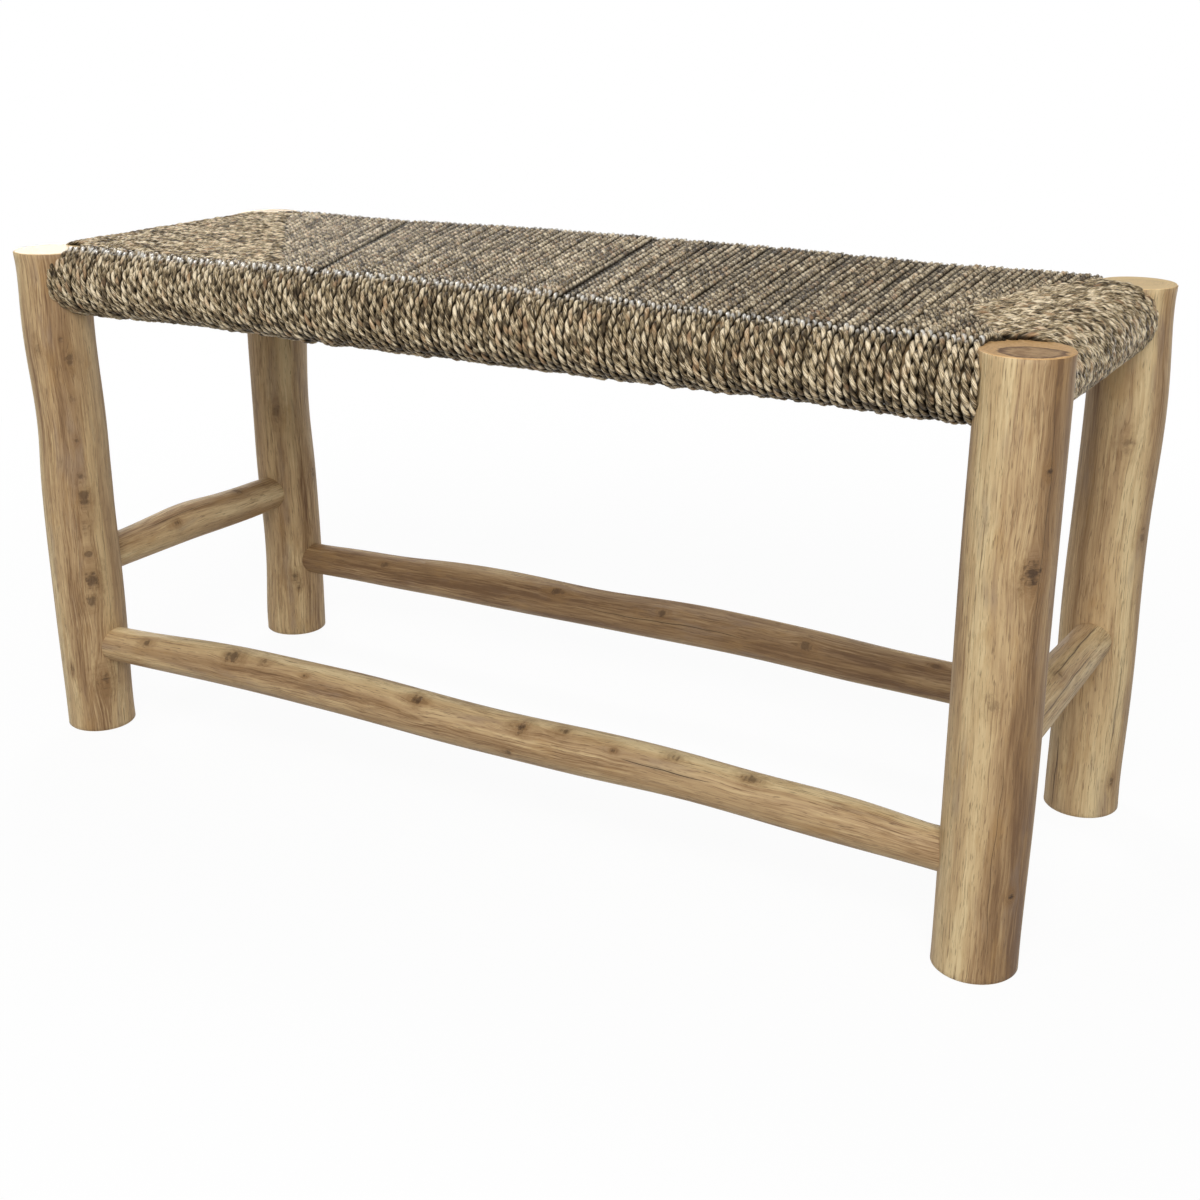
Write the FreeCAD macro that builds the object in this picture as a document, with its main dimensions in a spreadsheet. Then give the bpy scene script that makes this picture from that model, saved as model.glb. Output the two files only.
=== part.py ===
"""Rustic log bench: four log legs, eight round rails and a seat wound with natural cord.

The origin is on the floor, at the middle of the bench. X runs along the bench, Y from front
to back and Z up. Every log is a loft through circles, and its table gives each circle as
shares of that log's own length and radius, so the log keeps its hand-cut shape at any size.
"""
import FreeCAD, Part
import math
import os
import Sketcher

DRIVING_SIZES = {
    # Legs, from axis to axis
    "leg_span_long": 870.0,
    "leg_span_deep": 294.0,
    "leg_height": 450.0,
    "leg_radius": 31.2,
    "leg_edge_chamfer": 1.0,
    # Low stretchers along the bench
    "long_stretcher_height": 84.0,
    "long_stretcher_radius": 18.8,
    "long_stretcher_bow": 7.0,
    # Higher stretchers from front to back
    "side_stretcher_height": 160.0,
    "side_stretcher_radius": 17.8,
    "side_stretcher_bow": 3.0,
    # How a stretcher is let into a leg
    "housing_depth": 7.0,
    "stretcher_tenon_radius": 10.5,
    "stretcher_tenon_length": 22.0,
    "joint_clearance": 0.1,
    "tenon_end_gap": 1.0,
    # Seat rails inside the woven roll, with their axis a drop below the leg tops
    "seat_rail_drop": 25.0,
    "seat_rail_radius": 21.7,
    "seat_rail_bow": 1.5,
    "seat_rail_inset": 3.0,
    "seat_rail_shoulder_gap": 0.5,
    "seat_rail_tenon_radius": 9.5,
    "seat_rail_tenon_depth": 17.7,
    # Wound cord
    "cord_diameter": 6.3,
    "cord_leg_gap": 0.3,
    "cord_rail_gap": 0.1,
    # Tacks that hold the cord's ends
    "tack_head_radius": 4.5,
    "tack_head_thickness": 1.2,
    "tack_shank_radius": 0.9,
    "tack_length": 14.0,
    "tack_seat_depth": 0.6,
    "tack_end_distance": 40.0,
    "tack_gap": 0.1,
    # One overrun for all cuts
    "cut_overrun": 5.0,
}

# Leg sections: height as a share of the leg's height, then radius and the centre's drift
# to the right and to the back as shares of the leg's radius.
LEG_FRONT_LEFT_SHARES = (
    (0.00, 0.994, 0.016, 0.018),
    (0.12, 0.997, 0.014, 0.016),
    (0.28, 1.026, 0.024, 0.026),
    (0.44, 1.013, 0.018, 0.020),
    (0.56, 0.990, 0.030, 0.033),
    (0.65, 0.967, 0.058, 0.064),
    (0.74, 0.972, 0.035, 0.040),
    (0.84, 0.995, 0.004, 0.004),
    (1.00, 1.000, 0.000, 0.000),
)
LEG_FRONT_RIGHT_SHARES = (
    (0.00, 1.006, 0.000, 0.000),
    (0.15, 1.010, 0.006, 0.004),
    (0.33, 1.026, 0.020, 0.008),
    (0.52, 1.010, 0.004, 0.000),
    (0.72, 1.010, -0.010, 0.004),
    (0.86, 1.006, 0.000, 0.000),
    (1.00, 1.006, 0.000, 0.000),
)
LEG_BACK_LEFT_SHARES = (
    (0.00, 1.003, -0.007, -0.006),
    (0.12, 0.987, 0.020, 0.018),
    (0.25, 0.968, 0.036, 0.031),
    (0.36, 0.984, 0.006, 0.005),
    (0.45, 0.975, -0.022, -0.019),
    (0.57, 0.944, -0.050, -0.044),
    (0.67, 0.968, -0.040, -0.036),
    (0.80, 0.981, -0.018, -0.016),
    (1.00, 0.984, 0.000, 0.000),
)
LEG_BACK_RIGHT_SHARES = (
    (0.00, 1.000, -0.006, 0.000),
    (0.22, 1.008, -0.006, -0.002),
    (0.33, 1.016, -0.022, -0.005),
    (0.45, 1.000, -0.040, -0.008),
    (0.56, 0.982, -0.022, -0.005),
    (0.66, 0.994, 0.015, 0.003),
    (0.76, 1.010, 0.048, 0.010),
    (0.86, 0.998, 0.030, 0.006),
    (1.00, 0.984, 0.004, 0.000),
)
LEG_TABLES = {
    "leg_front_left": LEG_FRONT_LEFT_SHARES,
    "leg_front_right": LEG_FRONT_RIGHT_SHARES,
    "leg_back_left": LEG_BACK_LEFT_SHARES,
    "leg_back_right": LEG_BACK_RIGHT_SHARES,
}

# Stretcher sections: place from -1 to 1 as a share of the half length, radius as a share of
# the stretcher's radius, rise and sideways drift as shares of its bow.
STRETCHER_FRONT_SHARES = (
    (-1.00, 0.865, 0.00, 0.00),
    (-0.91, 0.870, 0.16, 0.05),
    (-0.78, 0.925, 0.52, 0.12),
    (-0.64, 0.980, 0.86, 0.16),
    (-0.44, 1.020, 1.03, 0.10),
    (-0.26, 1.042, 1.12, -0.06),
    (-0.06, 1.015, 0.90, -0.14),
    (0.10, 0.990, 0.86, -0.08),
    (0.30, 1.020, 1.02, 0.04),
    (0.48, 0.965, 1.06, 0.12),
    (0.64, 0.945, 0.72, 0.14),
    (0.82, 0.960, 0.46, 0.08),
    (0.93, 0.880, 0.14, 0.02),
    (1.00, 0.870, 0.00, 0.00),
)
STRETCHER_BACK_SHARES = (
    (-1.00, 0.850, 0.00, 0.00),
    (-0.93, 0.850, 0.02, 0.02),
    (-0.80, 0.890, 0.24, 0.06),
    (-0.67, 0.930, 0.44, 0.02),
    (-0.54, 1.005, 0.82, -0.08),
    (-0.42, 1.045, 0.98, -0.12),
    (-0.26, 1.020, 0.98, -0.10),
    (-0.10, 0.985, 0.94, 0.02),
    (0.06, 1.040, 1.14, 0.10),
    (0.28, 1.040, 1.18, 0.14),
    (0.46, 1.028, 0.86, 0.10),
    (0.58, 0.990, 0.62, 0.04),
    (0.76, 0.960, 0.40, 0.00),
    (0.92, 0.890, 0.10, 0.00),
    (1.00, 0.865, 0.00, 0.00),
)
STRETCHER_LEFT_SHARES = (
    (-1.00, 0.925, 0.00, 0.00),
    (-0.72, 0.940, 0.30, 0.06),
    (-0.40, 1.000, 0.80, 0.14),
    (-0.08, 1.048, 1.16, 0.20),
    (0.24, 1.010, 0.60, 0.12),
    (0.60, 0.985, 0.14, 0.04),
    (1.00, 0.925, 0.00, 0.00),
)
STRETCHER_RIGHT_SHARES = (
    (-1.00, 0.935, 0.00, 0.00),
    (-0.64, 0.980, 0.24, -0.10),
    (-0.22, 1.020, 0.64, -0.20),
    (0.20, 1.004, 0.80, -0.12),
    (0.62, 0.970, 0.40, -0.04),
    (1.00, 0.935, 0.00, 0.00),
)
STRETCHER_TABLES = {
    "stretcher_front": STRETCHER_FRONT_SHARES,
    "stretcher_back": STRETCHER_BACK_SHARES,
    "stretcher_left": STRETCHER_LEFT_SHARES,
    "stretcher_right": STRETCHER_RIGHT_SHARES,
}

# Seat rail sections: place from -1 to 1 as a share of the half length, radius as a share of
# the rail's end radius, rise as a share of the seat rail's bow.
LONG_RAIL_SHARES = (
    (-1.00, 1.000, 0.00),
    (-0.70, 1.050, 0.45),
    (-0.35, 1.120, 0.90),
    (0.00, 1.138, 1.00),
    (0.35, 1.125, 0.90),
    (0.70, 1.055, 0.45),
    (1.00, 1.000, 0.00),
)
SIDE_RAIL_SHARES = (
    (-1.00, 1.000, 0.00),
    (-0.40, 1.020, 0.15),
    (0.40, 1.020, 0.15),
    (1.00, 1.000, 0.00),
)

# Angles at which the rounded nose over a side rail is measured.
NOSE_DEGREES = (20, 40, 58, 72, 82)

# Which way each leg and each rail lies from the middle: -1 is left or front, 1 is right or back.
LEG_SIDES = {
    "leg_front_left": (-1, -1),
    "leg_front_right": (1, -1),
    "leg_back_left": (-1, 1),
    "leg_back_right": (1, 1),
}
LONG_RAIL_SIDES = {"front": -1, "back": 1}
SIDE_RAIL_SIDES = {"left": -1, "right": 1}

# The stretchers that end in each leg: first the long one, then the side one.
LEG_STRETCHERS = {
    "leg_front_left": ("stretcher_front", "stretcher_left"),
    "leg_front_right": ("stretcher_front", "stretcher_right"),
    "leg_back_left": ("stretcher_back", "stretcher_left"),
    "leg_back_right": ("stretcher_back", "stretcher_right"),
}

# A sketch plane for each axis, and whether its normal points up or down that axis.
PLANES = {"X": ("YZ_Plane", 1), "Y": ("XZ_Plane", -1), "Z": ("XY_Plane", 1)}

# Where a sketch's curves start, before their bound sizes pull them into place.
START_RADIUS = DRIVING_SIZES["seat_rail_radius"]
START_HALF_WIDTH = DRIVING_SIZES["leg_span_deep"]

doc = FreeCAD.newDocument("LogBench")
sheet = doc.addObject("Spreadsheet::Sheet", "Sizes")


def fill_sheet():
    """Write each driving size to the sheet as plain text, with its alias."""
    for row, (name, value) in enumerate(DRIVING_SIZES.items(), start=1):
        sheet.set(f"A{row}", name)
        sheet.set(f"B{row}", str(value))
        sheet.setAlias(f"B{row}", name)
    doc.recompute()


def size(name):
    """A driving size as an expression."""
    return f"Sizes.{name}"


def total(*terms):
    """The sum of several expressions."""
    return "(" + " + ".join(terms) + ")"


def share_of(share, expression):
    """A share of an expression."""
    return f"({share} * {expression})"


def less(first, *rest):
    """The first expression less the others."""
    return "(" + " - ".join((first,) + rest) + ")"


def new_body(name, right="0", back="0", up="0"):
    """A body that stands at its own place in the bench."""
    body = doc.addObject("PartDesign::Body", name)
    body.Label = name
    for letter, place in zip("xyz", (right, back, up)):
        body.setExpression(f".Placement.Base.{letter}", place)
    return body


def new_sketch(body, name, axis, along, across="0", up="0"):
    """A sketch square to an axis of the body, moved along it and within its plane."""
    role, normal = PLANES[axis]
    plane = next(item for item in body.Origin.OriginFeatures if item.Role == role)
    sketch = body.newObject("Sketcher::SketchObject", name)
    sketch.AttachmentSupport = [(plane, "")]
    sketch.MapMode = "FlatFace"
    sketch.setExpression(".AttachmentOffset.Base.x", across)
    sketch.setExpression(".AttachmentOffset.Base.y", up)
    sketch.setExpression(".AttachmentOffset.Base.z", share_of(normal, along))
    return sketch


def add_circle(sketch, radius, start=START_RADIUS):
    """A circle about the sketch's own origin, with its radius bound to an expression."""
    shape = Part.Circle(FreeCAD.Vector(), FreeCAD.Vector(0, 0, 1), start)
    curve = sketch.addGeometry(shape, False)
    sketch.addConstraint(Sketcher.Constraint("Coincident", curve, 3, -1, 1))
    number = sketch.addConstraint(Sketcher.Constraint("Radius", curve, start))
    sketch.setExpression(f"Constraints[{number}]", radius)


def circle_sketch(body, name, axis, along, radius, across="0", up="0"):
    """One round section of a log."""
    sketch = new_sketch(body, name, axis, along, across, up)
    add_circle(sketch, radius)
    return sketch


def slot_sketch(body, name, along, up, half_width, radius):
    """A long slot with round ends: the outline of the wound seat, seen from its end."""
    sketch = new_sketch(body, name, "X", along, up=up)
    quarter = math.pi / 2
    normal = FreeCAD.Vector(0, 0, 1)
    corners = {
        (side, level): FreeCAD.Vector(side * START_HALF_WIDTH, level * START_RADIUS, 0)
        for side in (-1, 1)
        for level in (-1, 1)
    }
    front = Part.Circle(FreeCAD.Vector(-START_HALF_WIDTH, 0, 0), normal, START_RADIUS)
    back = Part.Circle(FreeCAD.Vector(START_HALF_WIDTH, 0, 0), normal, START_RADIUS)
    front_arc = sketch.addGeometry(Part.ArcOfCircle(front, quarter, 3 * quarter), False)
    back_arc = sketch.addGeometry(Part.ArcOfCircle(back, -quarter, quarter), False)
    top = sketch.addGeometry(Part.LineSegment(corners[-1, 1], corners[1, 1]), False)
    bottom = sketch.addGeometry(Part.LineSegment(corners[-1, -1], corners[1, -1]), False)
    for first, first_end, second, second_end in (
        (front_arc, 1, top, 1),
        (front_arc, 2, bottom, 1),
        (back_arc, 1, bottom, 2),
        (back_arc, 2, top, 2),
    ):
        tangent = Sketcher.Constraint("Tangent", first, first_end, second, second_end)
        sketch.addConstraint(tangent)
    sketch.addConstraint(Sketcher.Constraint("Equal", front_arc, back_arc))
    sketch.addConstraint(Sketcher.Constraint("Symmetric", front_arc, 3, back_arc, 3, -1, 1))
    sketch.addConstraint(Sketcher.Constraint("Horizontal", top))
    round_end = sketch.addConstraint(Sketcher.Constraint("Radius", front_arc, START_RADIUS))
    place = sketch.addConstraint(
        Sketcher.Constraint("DistanceX", -1, 1, back_arc, 3, START_HALF_WIDTH)
    )
    sketch.setExpression(f"Constraints[{round_end}]", radius)
    sketch.setExpression(f"Constraints[{place}]", half_width)
    return sketch


def loft(body, name, sections, kind="Additive"):
    """A smooth loft through sketches, which adds to the body or cuts it."""
    feature = body.newObject(f"PartDesign::{kind}Loft", name)
    feature.Profile = sections[0]
    feature.Sections = sections[1:]
    feature.Ruled = False
    return feature


def round_peg(body, name, axis, outward, along, radius, length, across="0", up="0"):
    """A round tenon that points up the axis (1) or down it (-1) from a place along it."""
    pad = body.newObject("PartDesign::Pad", name)
    pad.Profile = circle_sketch(body, f"{name}_outline", axis, along, radius, across, up)
    pad.Reversed = outward != PLANES[axis][1]
    pad.setExpression("Length", length)
    return pad


def round_hole(body, name, axis, outward, along, radius, length, across="0", up="0"):
    """A round hole whose floor is at a place along the axis and that opens up or down it."""
    pocket = body.newObject("PartDesign::Pocket", name)
    pocket.Profile = circle_sketch(body, f"{name}_outline", axis, along, radius, across, up)
    pocket.Reversed = outward == PLANES[axis][1]
    pocket.setExpression("Length", length)
    return pocket


def turned_shoulder(body, name, axis, outward, along, tenon_radius, log_radius, length):
    """A square shoulder: the log is cut away round its tenon, from a place to its end."""
    sketch = new_sketch(body, f"{name}_outline", axis, along)
    add_circle(sketch, tenon_radius)
    add_circle(sketch, log_radius, START_HALF_WIDTH)
    pocket = body.newObject("PartDesign::Pocket", name)
    pocket.Profile = sketch
    pocket.Reversed = outward == PLANES[axis][1]
    pocket.setExpression("Length", length)
    return pocket


def half(span):
    """Half of a span between two leg axes."""
    return share_of(0.5, size(span))


def housing_end(span):
    """How far from the middle a stretcher's full section ends."""
    return total(less(half(span), size("leg_radius")), size("housing_depth"))


def shoulder_end(span):
    """How far from the middle a seat rail's shoulder stands."""
    return less(half(span), size("leg_radius"), size("seat_rail_shoulder_gap"))


def tenon_end(span):
    """How far from the middle a seat rail's tenon ends."""
    return total(less(half(span), size("leg_radius")), size("seat_rail_tenon_depth"))


def end_radius(name, end):
    """A stretcher's radius at its first or last section."""
    kind = "long" if name in ("stretcher_front", "stretcher_back") else "side"
    return share_of(STRETCHER_TABLES[name][end][1], size(f"{kind}_stretcher_radius"))


def stretcher_mortise(body, name, axis, inward, radius, height):
    """A stepped mortise: the housing for the full section, then the tenon's hole."""
    floor = less(size("leg_radius"), size("housing_depth"))
    open_length = total(size("housing_depth"), size("cut_overrun"))
    wide = total(radius, size("joint_clearance"))
    round_hole(body, f"{name}_housing", axis, inward, share_of(inward, floor), wide,
               open_length, up=height)
    depth = total(size("stretcher_tenon_length"), size("tenon_end_gap"))
    round_hole(body, f"{name}_hole", axis, inward, share_of(inward, less(floor, depth)),
               total(size("stretcher_tenon_radius"), size("joint_clearance")),
               total(depth, size("cut_overrun")), up=height)


def seat_rail_mortise(body, name, axis, inward, across):
    """A plain round mortise for a seat rail's tenon."""
    floor = less(size("leg_radius"), size("seat_rail_tenon_depth"), size("tenon_end_gap"))
    length = total(size("seat_rail_tenon_depth"), size("tenon_end_gap"), size("cut_overrun"))
    round_hole(body, name, axis, inward, share_of(inward, floor),
               total(size("seat_rail_tenon_radius"), size("joint_clearance")),
               length, across=across, up=rail_height())


def leg_section(body, name, along, wide, drift, trim="0"):
    """One round section of a leg, smaller in radius by the trim."""
    radius = size("leg_radius")
    return circle_sketch(body, name, "Z", along, less(share_of(wide, radius), trim),
                         share_of(drift[0], radius), share_of(drift[1], radius))


def add_leg_rim(body, name, rim, face, row):
    """The narrow chamfer between a leg's side and its flat-cut end."""
    wide, *drift = row[1:]
    loft(body, name, [
        leg_section(body, f"{name}_side", rim, wide, drift),
        leg_section(body, f"{name}_face", face, wide, drift, size("leg_edge_chamfer")),
    ])


def make_leg(name):
    """One log leg, with a mortise for each rail that ends in it."""
    right, back = LEG_SIDES[name]
    body = new_body(name, share_of(right, half("leg_span_long")),
                    share_of(back, half("leg_span_deep")))
    chamfer = size("leg_edge_chamfer")
    top = size("leg_height")
    rows = LEG_TABLES[name]
    sections = [
        leg_section(body, f"{name}_section_{number}",
                    total(chamfer, share_of(height, less(top, chamfer, chamfer))), wide, drift)
        for number, (height, wide, *drift) in enumerate(rows)
    ]
    loft(body, f"{name}_log", sections)
    add_leg_rim(body, f"{name}_foot", chamfer, "0", rows[0])
    add_leg_rim(body, f"{name}_top", less(top, chamfer), top, rows[-1])
    long_name, side_name = LEG_STRETCHERS[name]
    long_end = 0 if right < 0 else -1
    side_end = 0 if back < 0 else -1
    stretcher_mortise(body, f"{name}_long", "X", -right, end_radius(long_name, long_end),
                      size("long_stretcher_height"))
    stretcher_mortise(body, f"{name}_side", "Y", -back, end_radius(side_name, side_end),
                      size("side_stretcher_height"))
    inset = size("seat_rail_inset")
    seat_rail_mortise(body, f"{name}_seat_long", "X", -right, share_of(-back, inset))
    seat_rail_mortise(body, f"{name}_seat_side", "Y", -back, share_of(-right, inset))
    return body


def make_stretcher(name, axis, span, right, back, kind):
    """One round stretcher: a bowed log let into a leg at each end."""
    body = new_body(name, right, back, size(f"{kind}_stretcher_height"))
    reach = housing_end(span)
    radius = size(f"{kind}_stretcher_radius")
    bow = size(f"{kind}_stretcher_bow")
    sections = []
    for number, (place, wide, rise, drift) in enumerate(STRETCHER_TABLES[name]):
        sections.append(circle_sketch(
            body, f"{name}_section_{number}", axis, share_of(place, reach),
            share_of(wide, radius), share_of(drift, bow), share_of(rise, bow)))
    loft(body, f"{name}_log", sections)
    for outward, end in ((-1, "first"), (1, "last")):
        round_peg(body, f"{name}_{end}_tenon", axis, outward, share_of(outward, reach),
                  size("stretcher_tenon_radius"), size("stretcher_tenon_length"))
    return body


def rail_sections(body, name, axis, span, shares, across="0", gap="0"):
    """The round sections of a seat rail, or of the channel that it lies in."""
    sections = []
    for number, (place, wide, rise) in enumerate(shares):
        sections.append(circle_sketch(
            body, f"{name}_section_{number}", axis, share_of(place, tenon_end(span)),
            total(share_of(wide, size("seat_rail_radius")), gap), across,
            share_of(rise, size("seat_rail_bow"))))
    return sections


def tack_place(end):
    """How far along the bench a tack stands from the middle."""
    return share_of(end, less(shoulder_end("leg_span_long"), size("tack_end_distance")))


def tack_seat():
    """How far from a rail's axis a tack's head sits."""
    return less(size("seat_rail_radius"), size("tack_seat_depth"))


def make_seat_rail(name, axis, span, shares, right, back, tacked=0):
    """One seat rail: a log turned down to a tenon at each end, with seats for its tacks."""
    body = new_body(name, right, back, rail_height())
    loft(body, f"{name}_log", rail_sections(body, name, axis, span, shares))
    for outward, end in ((-1, "first"), (1, "last")):
        turned_shoulder(body, f"{name}_{end}_tenon", axis, outward,
                        share_of(outward, shoulder_end(span)), size("seat_rail_tenon_radius"),
                        total(size("seat_rail_radius"), size("cut_overrun")),
                        total(size("seat_rail_tenon_depth"), size("cut_overrun")))
    if tacked:
        for end in (-1, 1):
            cut_tack_seat(body, f"{name}_tack_{end + 1}", tacked, end)
    return body


def cut_tack_seat(body, name, inward, end):
    """A flat seat for a tack's head, and the pilot hole for its shank."""
    round_hole(body, f"{name}_seat", "Y", inward, share_of(inward, tack_seat()),
               total(size("tack_head_radius"), size("tack_gap")), size("cut_overrun"),
               across=tack_place(end))
    point = less(tack_seat(), size("tack_length"))
    round_hole(body, f"{name}_pilot", "Y", inward, share_of(inward, point),
               size("tack_shank_radius"), total(size("tack_length"), size("cut_overrun")),
               across=tack_place(end))


def rail_height():
    """How high the seat rails' axis lies, just below the leg tops."""
    return less(size("leg_height"), size("seat_rail_drop"))


def rail_line(span, side):
    """Where a seat rail's axis lies, in from the line between the leg axes."""
    return share_of(side, less(half(span), size("seat_rail_inset")))


def wound_radius(wide):
    """The radius of a rail with one layer of cord on it."""
    return total(share_of(wide, size("seat_rail_radius")), size("cord_diameter"))


def cut_rail_channel(body, name, axis, span, shares, line):
    """The channel that a seat rail lies in, which opens into the leg notches."""
    sections = rail_sections(body, name, axis, span, shares, line, size("cord_rail_gap"))
    loft(body, name, sections, "Subtractive")


def cut_leg_notches(body):
    """The four upright notches in which the legs stand."""
    above = total(size("seat_rail_radius"), size("seat_rail_radius"), size("cut_overrun"))
    for name, (right, back) in LEG_SIDES.items():
        notch = body.newObject("PartDesign::Pocket", f"notch_for_{name}")
        notch.Profile = circle_sketch(
            body, f"notch_for_{name}_outline", "Z", above,
            total(size("leg_radius"), size("cord_leg_gap")),
            share_of(right, half("leg_span_long")),
            share_of(back, half("leg_span_deep")))
        notch.Type = "ThroughAll"


def cut_tack_pockets(body):
    """The room that each tack's head takes in the cord."""
    for word, side in LONG_RAIL_SIDES.items():
        line = rail_line("leg_span_deep", side)
        floor = total(line, share_of(-side, less(tack_seat(), size("cut_overrun"))))
        length = total(size("cut_overrun"), size("tack_head_thickness"), size("tack_gap"))
        for end in (-1, 1):
            round_hole(body, f"tack_pocket_{word}_{end + 1}", "Y", -side, floor,
                       total(size("tack_head_radius"), size("tack_gap")), length,
                       across=tack_place(end))


def seat_stations():
    """Where the wound seat is measured: (place, height above the rails' axis, radius)."""
    reach = less(half("leg_span_long"), size("seat_rail_inset"))
    end = wound_radius(1.0)
    nose = [
        (total(reach, share_of(math.sin(angle), end)), share_of(math.cos(angle), end))
        for angle in map(math.radians, NOSE_DEGREES)
    ]
    stations = [(share_of(-1, place), "0", radius) for place, radius in reversed(nose)]
    for place, wide, rise in LONG_RAIL_SHARES:
        bow = share_of(rise, size("seat_rail_bow"))
        stations.append((share_of(place, reach), bow, wound_radius(wide)))
    stations.extend((place, "0", radius) for place, radius in nose)
    return stations


def make_woven_seat():
    """The wound seat as one closed solid, rounded over the rails on all four sides."""
    body = new_body("woven_seat", up=rail_height())
    half_depth = less(half("leg_span_deep"), size("seat_rail_inset"))
    sections = [
        slot_sketch(body, f"seat_section_{number}", place, up, half_depth, radius)
        for number, (place, up, radius) in enumerate(seat_stations())
    ]
    loft(body, "seat_layers", sections)
    cut_leg_notches(body)
    for word, side in SIDE_RAIL_SIDES.items():
        cut_rail_channel(body, f"{word}_channel", "Y", "leg_span_deep", SIDE_RAIL_SHARES,
                         rail_line("leg_span_long", side))
    for word, side in LONG_RAIL_SIDES.items():
        cut_rail_channel(body, f"{word}_channel", "X", "leg_span_long", LONG_RAIL_SHARES,
                         rail_line("leg_span_deep", side))
    cut_tack_pockets(body)
    return body


def make_tack(word, side, end):
    """One tack: a round head on the rail's inner face and a shank driven into it."""
    name = f"tack_{word}_{end + 1}"
    line = rail_line("leg_span_deep", side)
    body = new_body(name, tack_place(end), line, rail_height())
    seat = share_of(-side, tack_seat())
    round_peg(body, f"{name}_head", "Y", -side, seat, size("tack_head_radius"),
              size("tack_head_thickness"))
    round_peg(body, f"{name}_shank", "Y", side, seat, size("tack_shank_radius"),
              less(size("tack_length"), size("tack_gap")))
    return body


def make_tacks():
    """All the tacks, as one node of separate solids."""
    tacks = [
        make_tack(word, side, end)
        for word, side in LONG_RAIL_SIDES.items()
        for end in (-1, 1)
    ]
    group = doc.addObject("Part::Compound", "cord_tacks")
    group.Label = "cord_tacks"
    group.Links = tacks
    return group


def make_bench():
    """Every piece of the bench, in the order in which it is put together."""
    pieces = [make_leg(name) for name in LEG_SIDES]
    for word, side in LONG_RAIL_SIDES.items():
        back = share_of(side, half("leg_span_deep"))
        pieces.append(make_stretcher(f"stretcher_{word}", "X", "leg_span_long", "0", back, "long"))
        pieces.append(make_seat_rail(f"seat_rail_{word}", "X", "leg_span_long", LONG_RAIL_SHARES,
                                     "0", rail_line("leg_span_deep", side), tacked=-side))
    for word, side in SIDE_RAIL_SIDES.items():
        right = share_of(side, half("leg_span_long"))
        pieces.append(make_stretcher(f"stretcher_{word}", "Y", "leg_span_deep", right, "0", "side"))
        pieces.append(make_seat_rail(f"seat_rail_{word}", "Y", "leg_span_deep", SIDE_RAIL_SHARES,
                                     rail_line("leg_span_long", side), "0"))
    pieces.append(make_woven_seat())
    pieces.append(make_tacks())
    doc.recompute()
    return pieces


def check_document(pieces):
    """Stop before anything is written if a feature failed or a piece isn't a sound solid."""
    failed = [
        f"{item.Name}: {item.State}"
        for item in doc.Objects
        if "Invalid" in item.State or "Error" in item.State
    ]
    for piece in pieces:
        shape = piece.Shape
        if shape.isNull() or not shape.isValid() or not shape.Solids:
            failed.append(f"{piece.Label}: no valid solid")
    if failed:
        raise RuntimeError("; ".join(failed))


def write_pieces(pieces):
    """One STEP file for each piece, named by its label."""
    os.makedirs("parts", exist_ok=True)
    for piece in pieces:
        shape = piece.Shape
        shape.exportStep(f"parts/{piece.Label}.step")
        box = shape.optimalBoundingBox()
        print(f"{piece.Label}: {len(shape.Solids)} solid, volume {shape.Volume:.0f}, "
              f"x {box.XMin:.1f} {box.XMax:.1f}, y {box.YMin:.1f} {box.YMax:.1f}, "
              f"z {box.ZMin:.1f} {box.ZMax:.1f}")


fill_sheet()
bench_pieces = make_bench()
check_document(bench_pieces)
write_pieces(bench_pieces)
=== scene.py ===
# %% [markdown]
# This lesson dresses a log bench. Four peeled logs stand as legs, four thinner ones tie them
# together, and two-ply seagrass cord is wound over hidden rails to make the seat. The imported CAD
# model gives every place and size, so we load it first.
# %% Load the frame
import math
import bpy
import numpy as np
from mathutils import Euler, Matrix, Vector
from mathutils.bvhtree import BVHTree


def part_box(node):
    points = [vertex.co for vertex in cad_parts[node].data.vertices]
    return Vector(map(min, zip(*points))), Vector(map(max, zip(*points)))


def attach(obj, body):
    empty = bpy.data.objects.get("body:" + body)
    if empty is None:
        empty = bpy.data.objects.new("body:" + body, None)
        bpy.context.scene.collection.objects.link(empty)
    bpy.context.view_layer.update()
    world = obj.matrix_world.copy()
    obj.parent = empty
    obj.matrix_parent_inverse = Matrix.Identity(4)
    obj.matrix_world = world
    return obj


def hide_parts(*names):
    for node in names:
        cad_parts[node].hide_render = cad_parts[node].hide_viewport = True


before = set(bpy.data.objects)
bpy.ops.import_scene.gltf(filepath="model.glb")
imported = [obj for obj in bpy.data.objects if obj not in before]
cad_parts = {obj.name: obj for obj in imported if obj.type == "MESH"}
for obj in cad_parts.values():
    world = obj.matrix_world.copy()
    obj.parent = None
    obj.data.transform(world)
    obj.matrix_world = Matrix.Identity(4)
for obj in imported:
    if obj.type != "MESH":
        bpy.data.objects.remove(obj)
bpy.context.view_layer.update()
scene = bpy.context.scene
MM = 0.001
print("nodes:", sorted(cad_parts))

# %% [markdown]
# Shader and geometry graphs get long when every sum is a node that is placed by hand. A wire
# stands for one output socket here. Python sums on wires add Math nodes, and one method makes
# any other node from its type, its settings and what goes into its sockets.
# %% Wires and graphs
def both_ways(operation):
    """An operator and its reflected form, each of which adds a Math node."""
    def forward(wire, other):
        return wire.maths(operation, wire, other)

    def reflected(wire, other):
        return wire.maths(operation, other, wire)
    return forward, reflected


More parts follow.
